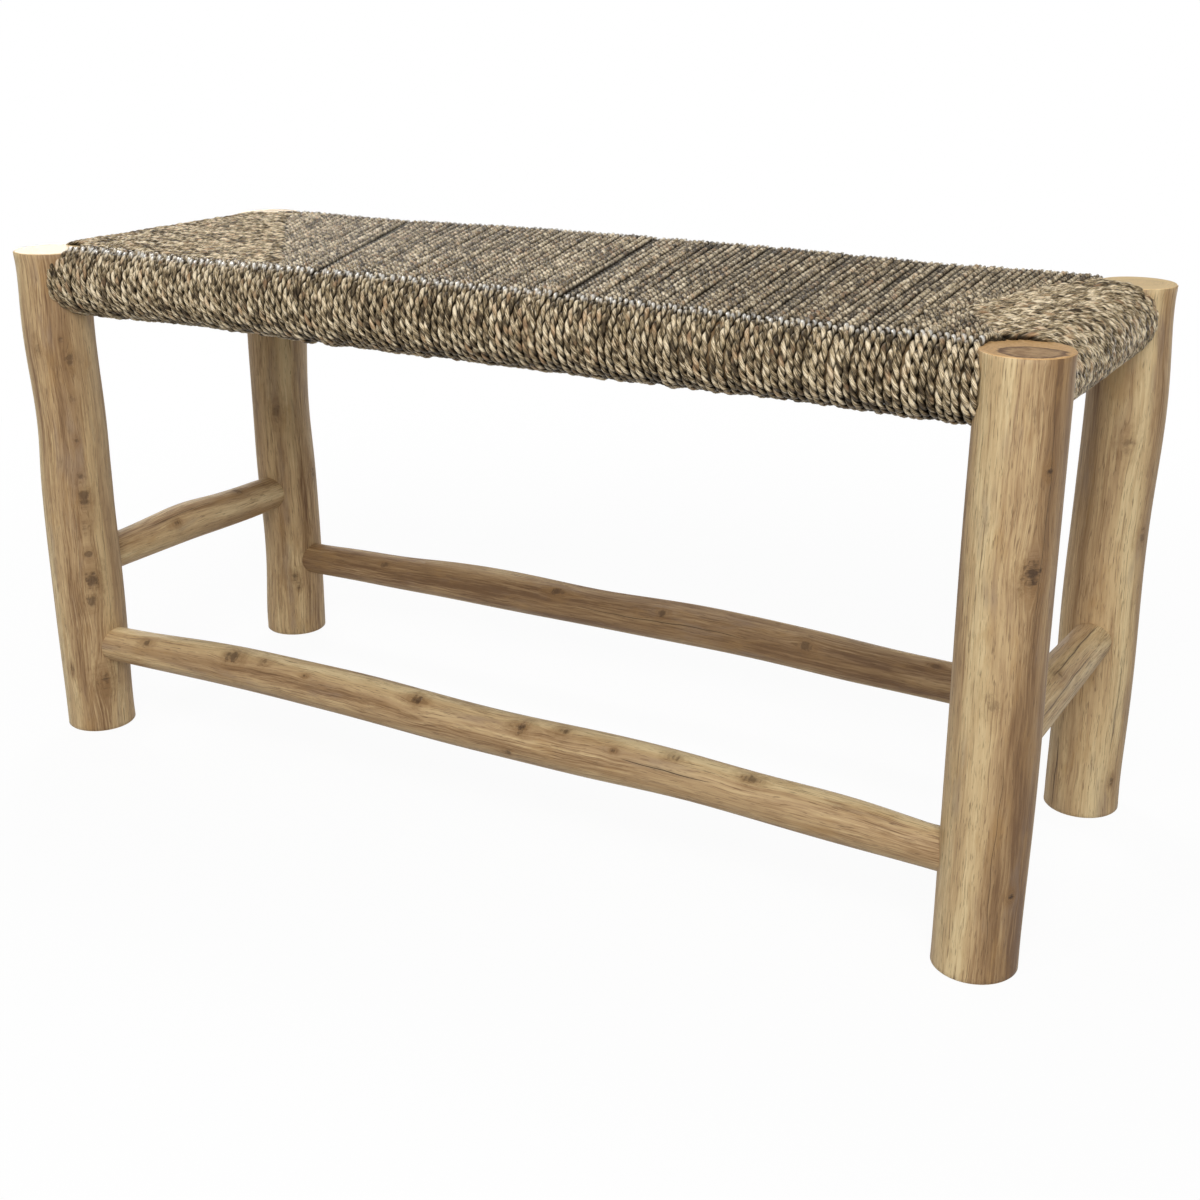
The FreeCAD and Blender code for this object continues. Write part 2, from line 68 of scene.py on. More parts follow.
class Wire:
    """One output socket that can stand in a Python sum or product."""

    def __init__(self, graph, socket):
        self.graph = graph
        self.socket = socket

    def maths(self, operation, first, second=0.0):
        """A Math node on two numbers or wires."""
        return self.graph.node("ShaderNodeMath", {"operation": operation}, {0: first, 1: second})

    __add__, __radd__ = both_ways("ADD")
    __sub__, __rsub__ = both_ways("SUBTRACT")
    __mul__, __rmul__ = both_ways("MULTIPLY")
    __truediv__, __rtruediv__ = both_ways("DIVIDE")
    __pow__, __rpow__ = both_ways("POWER")

    def __abs__(self):
        return self.maths("ABSOLUTE", self)

    def sine(self):
        return self.maths("SINE", self)


class Graph:
    """A node tree, with one method that adds any node to it."""

    def __init__(self, tree):
        self.tree = tree

    def node(self, kind, settings=None, inputs=None, output=0):
        """Add a node, set it up, feed its sockets and return one of its outputs."""
        node = self.tree.nodes.new(kind)
        for name, value in (settings or {}).items():
            if name == "stops":
                self.set_stops(node.color_ramp, value)
            else:
                setattr(node, name, value)
        for key, value in (inputs or {}).items():
            if isinstance(value, Wire):
                self.tree.links.new(value.socket, node.inputs[key])
            else:
                node.inputs[key].default_value = value
        return Wire(self, node.outputs[output])

    def set_stops(self, ramp, stops):
        """Give a colour ramp its stops, each a place and a colour."""
        for _ in stops[2:]:
            ramp.elements.new(0.5)
        for element, (place, colour) in zip(ramp.elements, stops):
            element.position = place
            element.color = colour


# %% [markdown]
# Colours are easiest to choose as they look on a screen, while Blender counts light in linear
# values. One small function turns the first into the second. The helpers after it are the
# moves that the finishes below repeat: a stretched noise, a soft step, a colour mix, and reading
# what a mesh carries at its points.
# %% Shared shader moves
def screen(red, green, blue):
    """A linear colour from the 0 to 255 values that a screen shows."""
    def linear(value):
        share = value / 255
        return share / 12.92 if share <= 0.04045 else ((share + 0.055) / 1.055) ** 2.4
    return (linear(red), linear(green), linear(blue), 1.0)


def stretched_noise(graph, place, scale, detail=3.0, rough=0.55, shift=0.0):
    """Noise whose pattern is scaled differently along each axis of a place."""
    moved = graph.node("ShaderNodeVectorMath", {"operation": "MULTIPLY_ADD"},
                       {0: place, 1: scale, 2: (shift, shift * 0.7, shift * 1.3)})
    return graph.node("ShaderNodeTexNoise", {},
                      {"Vector": moved, "Scale": 1.0, "Detail": detail, "Roughness": rough}, "Fac")


def soft_step(graph, value, low, high):
    """0 below the low value, 1 above the high one and a smooth slope between them."""
    return graph.node("ShaderNodeMapRange", {"interpolation_type": "SMOOTHSTEP"},
                      {"Value": value, "From Min": low, "From Max": high}, "Result")


def mix_colours(graph, factor, first, second):
    """One colour laid over another by a factor."""
    return graph.node("ShaderNodeMix", {"data_type": "RGBA"}, {0: factor, 6: first, 7: second}, 2)


def paint_over(graph, colour, layers):
    """Screen colours laid over one another, each by its own mask."""
    for mask, paint in layers:
        colour = mix_colours(graph, mask, colour, screen(*paint))
    return colour


def attribute(graph, name, output="Fac"):
    """A value that the mesh carries at its points."""
    return graph.node("ShaderNodeAttribute", {"attribute_name": name}, {}, output)


def split_vector(graph, name):
    """The three numbers of a vector that the mesh carries."""
    parts = graph.node("ShaderNodeSeparateXYZ", {}, {"Vector": attribute(graph, name, "Vector")})
    return [Wire(graph, parts.socket.node.outputs[axis]) for axis in "XYZ"]


def place_from(graph, x, y, z=0.0):
    """A place for a pattern, made of three numbers."""
    return graph.node("ShaderNodeCombineXYZ", {}, {"X": x, "Y": y, "Z": z})


def new_material(name):
    """An empty material and its graph."""
    material = bpy.data.materials.new(name)
    material.use_nodes = True
    material.node_tree.nodes.clear()
    return material, Graph(material.node_tree)


def show_surface(graph, surface, kind="ShaderNodeOutputMaterial"):
    """Lead a shader to the tree's output."""
    output = graph.tree.nodes.new(kind)
    graph.tree.links.new(surface.socket, output.inputs["Surface"])


def finish_material(graph, sockets, height, depth):
    """A Principled surface with a bump of the given depth."""
    sockets["Normal"] = graph.node("ShaderNodeBump", {},
                                   {"Strength": 1.0, "Distance": depth, "Height": height})
    show_surface(graph, graph.node("ShaderNodeBsdfPrincipled", {}, sockets))


print("middle grey on a screen is", round(screen(128, 128, 128)[0], 3), "in linear light")

# %% [markdown]
# A peeled log is nearly a cylinder, but its middle wanders and its thickness changes, and the
# CAD solid already has that. We measure the solid instead of guessing: rays are shot at it from
# all round, and a circle is fitted to where they land. Rays that fall into a mortise land too
# deep, so after each fit the points that lie off the circle are dropped.
# %% Measure a log
RAYS = 48
RAY_START = 80 * MM


def surface_of(node):
    """A search tree over a CAD node's surface."""
    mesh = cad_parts[node].data
    corners = [vertex.co for vertex in mesh.vertices]
    return BVHTree.FromPolygons(corners, [face.vertices for face in mesh.polygons])


def fit_circle(points):
    """Centre and radius of the circle that fits most of the points, in three stricter rounds."""
    for limit in (3.0 * MM, 0.5 * MM, 0.3 * MM):
        design = np.column_stack([2 * points, np.ones(len(points))])
        answer = np.linalg.lstsq(design, (points ** 2).sum(1), rcond=None)[0]
        centre = answer[:2]
        away = np.linalg.norm(points - centre, axis=1)
        middle = np.median(away)
        points = points[np.abs(away - middle) < limit]
    return centre[0], centre[1], middle


def measure_log(node, axis, low, high, count=49):
    """Rows of (place along the axis, centre, centre, radius), measured on the CAD solid."""
    tree = surface_of(node)
    first, second = (axis + 1) % 3, (axis + 2) % 3
    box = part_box(node)
    middle = (box[0] + box[1]) / 2
    rows = []
    for place in np.linspace(low, high, count):
        points = []
        for angle in np.linspace(0, 2 * math.pi, RAYS, endpoint=False):
            way = Vector((0, 0, 0))
            way[first], way[second] = math.cos(angle), math.sin(angle)
            start = middle + RAY_START * way
            start[axis] = place
            hit = tree.ray_cast(start, -way)[0]
            if hit is not None:
                points.append((hit[first], hit[second]))
        rows.append((place, *fit_circle(np.array(points))))
    return np.array(rows)


# %% [markdown]
# What the eye reads as real wood is the small unevenness that the CAD solid leaves out: flats
# from the drawknife, shallow ribs along the grain and a swelling at each knot. Each is a smooth
# function of the angle round the log and the place along it, so it closes on itself.
# %% Hand-worked unevenness
KNOT_LENGTH = 1.6
FAR_FROM_KNOT, FAR_FROM_CRACK = 5.0, 40.0
KNOT_SWELL = 0.7


def waves(random, turn, along, count, rounds, pace, power=1.0):
    """A sum of random waves round and along a log, scaled to about plus or minus one."""
    total = np.zeros_like(turn)
    for _ in range(count):
        number = random.integers(rounds[0], rounds[1] + 1)
        rate = random.uniform(-pace, pace)
        total += np.cos(number * turn + rate * along + random.uniform(0, 2 * math.pi)) \
            / number ** power
    return total / np.abs(total).max()


def turn_between(turn, other):
    """The signed angle from one direction to another, at most half a turn."""
    return (turn - other + math.pi) % (2 * math.pi) - math.pi


def knot_field(turn, along, radius, knots, calm):
    """Distance to the nearest knot in its own sizes, its strength and the wood's calm, stacked,
    with the grain's sideways shift and the swelling."""
    nearest = np.full(turn.shape, FAR_FROM_KNOT)
    weight = np.full(turn.shape, 1e-6)
    strong, shift, swell = (np.zeros_like(turn) for _ in range(3))
    for degrees, place, size, strength in knots:
        reach = size * MM
        across = turn_between(turn, math.radians(degrees)) * radius / reach
        up = (along - place * MM) / (KNOT_LENGTH * reach)
        away = np.hypot(across, up)
        nearest = np.minimum(nearest, away)
        near = np.exp(-away ** 2 / 3)
        weight += near
        strong += near * strength
        shift -= strength * reach * np.tanh(across / 0.5) * np.exp(-np.abs(across) / 1.8) \
            * np.exp(-(up / 2.2) ** 2)
        swell += strength * np.exp(-(away / 1.9) ** 2)
    return np.stack([nearest, strong / weight, calm + 0 * turn], -1), shift, swell


def crack_field(turn, along, radius, cracks):
    """Distance to the nearest drying crack in millimetres, and how open it is there."""
    distance = np.full(turn.shape, FAR_FROM_CRACK)
    opening = np.zeros_like(turn)
    for degrees, low, high, width in cracks:
        middle, half = (low + high) / 2 * MM, (high - low) / 2 * MM
        wander = np.radians(degrees) + 0.035 * np.sin(along / MM / 23 + degrees) \
            + 0.012 * np.sin(along / MM / 6.1 + degrees)
        across = turn_between(turn, wander) * radius / MM
        share = np.clip(1 - ((along - middle) / half) ** 2, 0, 1)
        closer = np.abs(across) < np.abs(distance)
        distance = np.where(closer, across, distance)
        opening = np.where(closer, width * np.sqrt(share) * np.exp(-(across / 3) ** 2), opening)
    return distance, opening


def hand_relief(random, turn, along, look, swell):
    """Flats, ribs and swellings in millimetres. The ribs fade in and out over the log."""
    flats = look["flats"] * waves(random, turn, along, 10, (2, 6), 22, 0.6)
    ribs = look["ribs"] * waves(random, turn, along, 46, (9, 38), 16, 0.35)
    return flats + ribs * (0.55 + 0.45 * waves(random, turn, along, 6, (1, 3), 26, 0.2)) \
        + KNOT_SWELL * swell


# %% [markdown]
# The log itself is a grid of rings, closed by rings that shrink to a pole on each cut end. Its
# points will carry what the wood finish reads, such as the distance to a crack. A distance stays
# smooth from point to point, so a thin crack stays crisp on a coarse mesh.
# %% Rings, values and pieces
def add_values(mesh, name, values):
    """Store one number or one vector for each point of a mesh."""
    kind, field = ("FLOAT", "value") if values.ndim == 1 else ("FLOAT_VECTOR", "vector")
    mesh.attributes.new(name, kind, "POINT").data.foreach_set(
        field, values.astype(np.float32).ravel())


def grid_faces(rings, sides):
    """Quads between the rings of a tube and fans to a pole at each end."""
    quads = []
    for ring in range(rings - 1):
        for side in range(sides):
            after = (side + 1) % sides
            quads.append((ring * sides + side, ring * sides + after,
                          (ring + 1) * sides + after, (ring + 1) * sides + side))
    start, end, last = rings * sides, rings * sides + 1, (rings - 1) * sides
    fans = [(start, (side + 1) % sides, side) for side in range(sides)]
    fans += [(end, last + side, last + (side + 1) % sides) for side in range(sides)]
    return quads + fans


def with_poles(values):
    """One value for each point of a log, ring by ring, with the two poles last."""
    flat = values.reshape(values.shape[0] * values.shape[1], -1)
    poles = [values[ring].mean(0).reshape(1, -1) for ring in (0, -1)]
    return np.squeeze(np.concatenate([flat, *poles]))


def new_piece(name, mesh, material, node):
    """Put a finished mesh in the scene, where it stands for a CAD node."""
    piece = bpy.data.objects.new(name, mesh)
    scene.collection.objects.link(piece)
    if not mesh.materials:
        mesh.materials.append(material)
    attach(piece, "root")
    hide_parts(node)


# %% [markdown]
# The finish can't see where the trunk runs, so the mesh tells it. The grain's place is that of a
# straight trunk, shifted round each knot. A tone says how pale or brown the wood is there, and on
# a few logs it also carries painted highlights and painted shade. The cut faces get coordinates of
# their own, centred on the heart and counted in its half widths.
# %% What a log's points carry
ON_CUT = 0.999
EVERYDAY_HEART = (2, 3, 18, 0.25, 0.3)
SEED_STEP = 0.37


def band_tone(turn, along, bands):
    """How much paler or browner the wood is, from wavering bands along the trunk. A few of the
    bands are painted highlights and painted shade.
    """
    tone = np.zeros_like(turn)
    for degrees, width, amount in bands:
        bend = 0.12 * np.sin(along / MM / 60 + degrees)
        tone += amount * np.exp(-(turn_between(turn, math.radians(degrees) + bend)
                                  / math.radians(width)) ** 2)
    return tone


def log_values(random, turn, along, part, radius, look, knots, shift):
    """What the wood finish reads at the points, where part is their share of the radius."""
    drift = waves(random, turn, along, 5, (1, 2), 9, 0.5) * 1.6 * MM
    bent = turn + (shift + drift) / radius
    grain = np.stack([part * radius * np.cos(bent), part * radius * np.sin(bent), along], -1)
    crack, opening = crack_field(turn, along, radius, look["cracks"])
    east, north, wide, dark, pale = look.get("heart", EVERYDAY_HEART)
    on_cut = part < ON_CUT
    cut = np.stack([(part * radius * np.cos(turn) / MM - east) / wide,
                    (part * radius * np.sin(turn) / MM - north) / wide, on_cut * (1 + dark)], -1)
    return {"grain": grain + look["seed"] * SEED_STEP, "knot": knots,
            "crack": np.stack([crack, opening, 0 * crack], -1),
            "tone": np.where(on_cut, pale, band_tone(turn, along, look["bands"])), "cut": cut}


# %% [markdown]
# Now the rings can be placed. They follow the measured middle and radius, and the relief fades
# out towards both ends, so that the saw cuts stay round. A ring just inside each rim makes the
# narrow chamfer.
# %% Make a log
INNER_RINGS = np.array([0.06, 0.2, 0.36, 0.52, 0.68, 0.82, 0.93])
END_RINGS = len(INNER_RINGS) + 1
END_FADE = 12 * MM


def spread(values):
    """A value for each ring, with the first and last repeated on the cut faces' rings."""
    return np.concatenate([np.full(END_RINGS, values[0]), values,
                           np.full(END_RINGS, values[-1])])


def make_log(node, axis, look, material, sides, step, chamfer):
    """A peeled log in place of a CAD node, with its grain's values on its points."""
    random = np.random.default_rng(look["seed"])
    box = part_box(node)
    trim = look.get("hidden", 0) * MM
    low, high = box[0][axis] + trim + chamfer, box[1][axis] - trim - chamfer
    rows = measure_log(node, axis, low, high)
    places = np.linspace(low, high, round((high - low) / step) + 1)
    centre_a, centre_b, radius = (np.interp(places, rows[:, 0], rows[:, k]) for k in (1, 2, 3))
    mean = radius.mean()
    rim = 1 - chamfer / mean
    along = spread(places)
    along[:END_RINGS] -= chamfer
    along[-END_RINGS:] += chamfer
    turn, place = np.meshgrid(np.linspace(0, 2 * math.pi, sides, endpoint=False), along)

    def for_points(values):
        return np.repeat(values[:, None], sides, 1)

    part = for_points(np.concatenate([INNER_RINGS * rim, [rim], np.ones(places.size), [rim],
                                      INNER_RINGS[::-1] * rim]))
    knots, shift, swell = knot_field(turn, place, mean, look["knots"], look.get("calm", 0.2))
    fade = np.clip(np.minimum(place - low, high - place) / END_FADE, 0, 1)
    size = for_points(spread(radius)) \
        + hand_relief(random, turn, place, look, swell) * MM * fade ** 0.5
    corners = [place, place, place]
    corners[(axis + 1) % 3] = for_points(spread(centre_a)) + part * size * np.cos(turn)
    corners[(axis + 2) % 3] = for_points(spread(centre_b)) + part * size * np.sin(turn)
    mesh = bpy.data.meshes.new(node)
    faces = grid_faces(along.size, sides)
    mesh.from_pydata(with_poles(np.stack(corners, -1)).tolist(), [], faces)
    rounded = np.ones(len(faces), bool)
    flat = END_RINGS * sides
    rounded[:flat] = rounded[(along.size - 1) * sides - flat:] = False
    mesh.polygons.foreach_set("use_smooth", rounded)
    values = log_values(random, turn, place, part, mean, look, knots, shift)
    for name, value in values.items():
        add_values(mesh, name, with_poles(value))
    new_piece(f"{node}_log", mesh, material, node)
    print(node, "radius", round(mean / MM, 1), "mm,", len(mesh.polygons), "faces")


# %% [markdown]
# Peeled teak is honey coloured, with paler sapwood bands, brown streaks that run with the grain
# and short dark pores. All of them are noise that is stretched along the trunk. The grain place
# bends round each knot, so the streaks flow past it as they do in a real branch collar. Each
# noise has its scale in cycles per metre, twice across the trunk and once along it. Where the
# wood is calm, the fine streaks are weaker.
# %% Peeled wood finish
def wavy(graph, grain, scale, amount, shift):
    """The grain's place, pushed sideways a little so that its lines waver."""
    push = stretched_noise(graph, grain, scale, 2, 0.5, shift)
    push_other = stretched_noise(graph, grain, scale, 2, 0.5, shift + 9)
    sideways = place_from(graph, (push - 0.5) * amount, (push_other - 0.5) * amount)
    return graph.node("ShaderNodeVectorMath", {"operation": "ADD"}, {0: grain, 1: sideways})


def side_grain(graph, grain, tone):
    """Colour of the log's side and the fine grain's height."""
    waved = wavy(graph, grain, (60, 60, 30), 0.003, 4)
    broad = stretched_noise(graph, waved, (70, 70, 5), 3, 0.5)
    streak = stretched_noise(graph, waved, (230, 230, 14), 3, 0.6, 3)
    fine = stretched_noise(graph, waved, (700, 700, 24), 2, 0.6, 7)
    pores = stretched_noise(graph, waved, (1000, 1000, 80), 2, 0.6, 11)
    ochre = stretched_noise(graph, grain, (55, 55, 18), 4, 0.65, 17)
    mauve = stretched_noise(graph, grain, (60, 60, 12), 3, 0.6, 23)
    lively = soft_step(graph, stretched_noise(graph, grain, (48, 48, 5), 2, 0.5, 29), 0.35, 0.65)
    lively = lively * (1 - split_vector(graph, "knot")[2])
    level = (broad - 0.5) * 0.9 + (streak - 0.5) * (lively * 0.4 + 0.3) \
        + (fine - 0.5) * (lively * 0.7 + 0.45) + tone * 0.24 + 0.51
    colour = graph.node("ShaderNodeValToRGB", {"stops": (
        (0.1, screen(120, 89, 58)), (0.3, screen(158, 126, 88)), (0.48, screen(186, 155, 114)),
        (0.64, screen(204, 175, 130)), (0.86, screen(224, 200, 154)))}, {"Fac": level}, "Color")
    cloud = soft_step(graph, stretched_noise(graph, grain, (95, 95, 20), 5, 0.72, 37), 0.54, 0.68)
    thin = stretched_noise(graph, waved, (1250, 1250, 18), 1, 0.5, 31)
    lines = soft_step(graph, 1 - thin, 0.6, 0.7) * (lively * 0.3 + 0.5)
    dots = soft_step(graph, pores, 0.58, 0.72) * 0.6
    colour = paint_over(graph, colour, (
        (soft_step(graph, ochre, 0.52, 0.72) * 0.5, (172, 134, 84)),
        (soft_step(graph, mauve, 0.55, 0.72) * 0.45, (150, 128, 108)),
        (cloud * (lively * 0.45 + 0.1), (128, 96, 60)),
        (lines, (118, 88, 58)), (dots, (104, 78, 52))))
    height = (fine - 0.5) * 0.8 - dots * 0.6 + (streak - 0.5) * 0.5
    return colour, height


def knot_marks(graph, grain, colour, height):
    """Ragged dark centres in ochre halos, laid over the side grain."""
    away, strength, _ = split_vector(graph, "knot")
    ragged = stretched_noise(graph, grain, (260, 260, 200), 3, 0.65, 5)
    broad = stretched_noise(graph, grain, (120, 120, 60), 2, 0.6, 8)
    away = away + (ragged - 0.5) * 2.6 + (broad - 0.5) * 1.8
    halo = (1 - soft_step(graph, away, 0.4, 2.7)) * strength
    rings = soft_step(graph, (away * 7.0).sine(), 0.3, 0.9) * \
        (1 - soft_step(graph, away, 0.9, 2.2)) * strength
    heart = (1 - soft_step(graph, away, 0.1, 1.0)) * strength
    colour = paint_over(graph, colour, (
        (halo * 0.7, (140, 104, 62)), (rings * 0.14, (104, 76, 48)),
        (heart * 0.88, (66, 46, 30))))
    return colour, height - heart * 1.8 - rings * 0.3


def crack_marks(graph, colour, height):
    """Thin dark drying cracks."""
    distance, opening, _ = split_vector(graph, "crack")
    width = opening * 0.5 + 0.02
    line = (1 - soft_step(graph, abs(distance) / width, 0.45, 1.0)) * \
        soft_step(graph, opening, 0.02, 0.3)
    near = (1 - soft_step(graph, abs(distance), 0.2, 3.0)) * soft_step(graph, opening, 0.1, 0.9)
    colour = paint_over(graph, colour, (
        (line * 0.85, (58, 44, 30)), (near * 0.35, (120, 100, 76))))
    return colour, height - line * 2.0


HEART_COSINE, HEART_SINE = 0.957, 0.29


def cut_face(graph):
    """Colour of a sawn end: tan sapwood round a slanting oval heart with a dark border."""
    place = attribute(graph, "cut", "Vector")
    uneven = stretched_noise(graph, place, (1.9, 2.6, 1), 3, 0.6)
    fibres = stretched_noise(graph, place, (9, 20, 1), 3, 0.65, 2)
    east, north, flag = split_vector(graph, "cut")
    along = east * HEART_COSINE + north * HEART_SINE
    toward = north * HEART_COSINE - east * HEART_SINE
    away = abs(along / 1.1) ** 1.6 + abs(toward / 0.9) ** 2 + (uneven - 0.5) * 0.9
    colour = mix_colours(graph, soft_step(graph, fibres, 0.35, 0.68), screen(226, 184, 130),
                         screen(204, 160, 104))
    # On the left legs' tops, this pale tone is a painted highlight.
    colour = mix_colours(graph, attribute(graph, "tone"), colour, screen(252, 222, 168))
    inner = (1 - soft_step(graph, away, 0.86, 1.0)) * (flag - 1)
    heart = mix_colours(graph, soft_step(graph, uneven, 0.42, 0.62), screen(190, 156, 114),
                        screen(156, 120, 80))
    colour = mix_colours(graph, inner * 0.95, colour, heart)
    border = inner * soft_step(graph, away, 0.4, 0.85)
    rings = soft_step(graph, (away ** 0.5 * 52.0).sine(), 0.1, 1.0) * \
        soft_step(graph, fibres, 0.25, 0.6) * 0.3
    return paint_over(graph, colour, ((border * 0.85, (100, 66, 40)), (rings, (138, 104, 68))))


def make_peeled_wood():
    """The finish of every peeled log that shows."""
    material, graph = new_material("peeled_teak")
    grain = attribute(graph, "grain", "Vector")
    colour, height = side_grain(graph, grain, attribute(graph, "tone"))
    colour, height = knot_marks(graph, grain, colour, height)
    colour, height = crack_marks(graph, colour, height)
    flag = soft_step(graph, split_vector(graph, "cut")[2], 0.3, 0.7)
    colour = mix_colours(graph, flag, colour, cut_face(graph))
    finish_material(graph, {"Base Color": colour, "Roughness": 0.58 - height * 0.06 - flag * 0.2,
                            "Specular IOR Level": 0.45}, height, 0.4 * MM)
    return material


peeled_wood = make_peeled_wood()
print("finish:", peeled_wood.name)

# %% [markdown]
# Each log gets its own look: a seed for its waves, flats and ribs in millimetres, bands of paler
# or browner wood as (angle, width, amount), knots as (angle, place, size, strength) and drying
# cracks as (angle, from, to, width). Lengths are in millimetres, and angles on a leg count from
# the bench's right side towards its back. Calm, from 0 to 1, weakens the fine streaks. The heart
# of the cut faces is (east, north, half width, how dark, how pale the wood round it).
# %% Legs
LEG_LOOKS = {
    "leg_front_left": {
        "seed": 3, "flats": 0.5, "ribs": 0.16,
        # The first band, pale along the left edge, is a painted highlight.
        "bands": ((-120, 14, 1.3), (-60, 20, -0.5), (-38, 16, -0.7), (-4, 16, 0.5),
                  (30, 20, -0.5), (90, 40, 0.4), (170, 40, -0.2)),
        "knots": ((-82, 368, 4, 0.5), (-32, 356, 5, 0.6), (-41, 376, 3, 0.5), (-37, 322, 4, 0.4),
                  (-39, 284, 3, 0.8), (-36, 250, 4, 0.6), (-33, 231, 6, 0.75), (-38, 204, 5, 0.6),
                  (-36, 178, 4, 0.6), (-35, 153, 7, 0.8), (-40, 132, 5, 0.6), (-30, 53, 8, 0.8),
                  (-87, 62, 4, 0.4), (60, 240, 7, 0.7), (150, 130, 6, 0.6)),
        "cracks": ((-8, 40, 330, 0.25), (-52, 90, 260, 0.2)),
        # The pale cut top is a painted highlight, for the light that skims it.
        "heart": (2, 3, 18, 0.1, 0.9),
    },
    "leg_front_right": {
        "seed": 5, "flats": 0.45, "ribs": 0.1, "calm": 0.5,
        "bands": ((-122, 15, 1.0), (-95, 13, 1.5), (-65, 60, -0.35), (-30, 19, -1.3),
                  (-4, 17, -0.8), (40, 18, 0.4), (100, 40, 0.3), (180, 30, -0.4)),
        "knots": ((-34, 378, 3, 1.0), (-33, 69, 3, 1.0), (-44, 307, 7, 1.0), (-80, 215, 5, 0.35),
                  (70, 190, 8, 0.7), (160, 320, 6, 0.6)),
        "cracks": ((-62, 20, 180, 0.3), (-33, 250, 446, 0.3), (120, 200, 430, 0.5)),
        "heart": (5.9, -9.7, 21, 1.0, 0.0),
    },
    "leg_back_left": {
        "seed": 8, "flats": 0.5, "ribs": 0.16,
        "bands": ((-80, 25, -0.2), (-40, 18, 0.7), (-10, 15, -0.5), (60, 40, 0.3),
                  (150, 40, -0.3)),
        "knots": ((-50, 68, 4, 0.8), (-43, 57, 3, 0.7), (-60, 250, 6, 0.5), (90, 300, 7, 0.7),
                  (10, 180, 6, 0.5)),
        "cracks": ((-20, 10, 120, 0.25), (70, 150, 400, 0.5)),
        # The pale cut top is a painted highlight, for the light that skims it.
        "heart": (-3, 4, 17, 0.1, 0.8),
    },
    "leg_back_right": {
        "seed": 13, "flats": 0.5, "ribs": 0.12, "calm": 0.5,
        "bands": ((-120, 18, -0.4), (-85, 20, 0.4), (-45, 20, 1.1), (-8, 14, -0.5), (80, 35, 0.4),
                  (160, 35, -0.2)),
        "knots": ((-28, 32, 3, 0.7), (-70, 330, 6, 0.45), (-20, 250, 5, 0.5), (80, 120, 8, 0.7)),
        "cracks": ((-126, 4, 70, 0.9), (-36, 60, 150, 0.5), (40, 220, 420, 0.6)),
        "heart": (2, 3, 18, 0.1, 0.9),
    },
}
for leg, look in LEG_LOOKS.items():
    make_log(leg, 2, look, peeled_wood, sides=120, step=3.6 * MM, chamfer=1.0 * MM)

# %% [markdown]
# The stretchers are thinner branches with more knots. They run into the legs with their full
# section, so only their length between the housings is built. The right one was split from a
# coarse branch, and its ribs are deep enough to throw shadows. The number before each look is the
# axis that the stretcher runs along, and angles count round that axis.
# %% Stretchers
HIDDEN_END = 22
STRETCHER_LOOKS = {
    "stretcher_front": (0, {
        "seed": 21, "flats": 0.5, "ribs": 0.2,
        # The first band, pale along the top, is a painted highlight on the upper edge.
        "bands": ((92, 26, 1.3), (140, 30, -0.2), (170, 30, -0.3), (-100, 50, -0.3)),
        "knots": ((125, -249, 7, 0.8), (132, -353, 4, 0.7), (135, -165, 2, 1.0),
                  (121, -214, 4, 0.5), (123, -49, 5, 0.8), (125, 55, 5, 0.9), (110, 92, 4, 0.8),
                  (134, 142, 2, 1.0), (110, 189, 4, 0.6), (112, 257, 5, 0.7), (-162, 45, 3, 0.7),
                  (0, 120, 6, 0.7), (-20, -130, 6, 0.7)),
        "cracks": ((150, 150, 225, 0.8), (20, -300, -120, 0.6)),
    }),
    "stretcher_back": (0, {
        "seed": 23, "flats": 0.5, "ribs": 0.2,
        # The dark bands on its top and front are partly browner wood and partly painted shade from
        # the seat.
        "bands": ((95, 35, -0.3), (150, 40, -1.0), (-150, 40, -0.8), (-60, 60, 0.2)),
        "knots": ((140, -300, 4, 0.6), (130, -90, 5, 0.7), (140, 30, 4, 0.7), (150, 180, 5, 0.6),
                  (120, 300, 4, 0.6), (10, 60, 7, 0.7)),
        "cracks": ((165, -60, 120, 0.5), (30, 100, 280, 0.6)),
    }),
    "stretcher_left": (1, {
        "seed": 29, "flats": 0.4, "ribs": 0.22,
        "bands": ((40, 30, -0.5), (0, 30, 0.5), (90, 30, 0.5)),
        "knots": ((60, -40, 4, 0.7), (20, 60, 5, 0.6), (-150, 20, 5, 0.6)),
        "cracks": ((35, -90, 20, 0.5),),
    }),
    "stretcher_right": (1, {
        "seed": 31, "flats": 0.6, "ribs": 0.75,
        "bands": ((80, 40, 0.5), (20, 30, 0.4), (-60, 40, -0.4)),
        "knots": ((30, -10, 4, 0.5), (-160, 30, 5, 0.6)),
        "cracks": ((60, -110, 60, 0.7), (95, -60, 120, 0.6), (20, -20, 120, 0.8)),
    }),
}
for stretcher, (axis, look) in STRETCHER_LOOKS.items():
    look["hidden"] = HIDDEN_END
    make_log(stretcher, axis, look, peeled_wood, sides=96, step=3.6 * MM, chamfer=0.8 * MM)

# %% [markdown]
# The seat's outline is measured on its CAD solid too. Across the bench it is a flat slot with
# round ends: the top and bottom layers of cord, and the two rails that the cord turns round. So
# three numbers at each place along the bench say where a cord lies.
# %% Measure the seat
CORD_RADIUS = 3.15 * MM
SEAT_REACH = 0.398
ABOVE, BELOW, BEFORE = 0.6, 0.2, -0.3
seat_surface = surface_of("woven_seat")


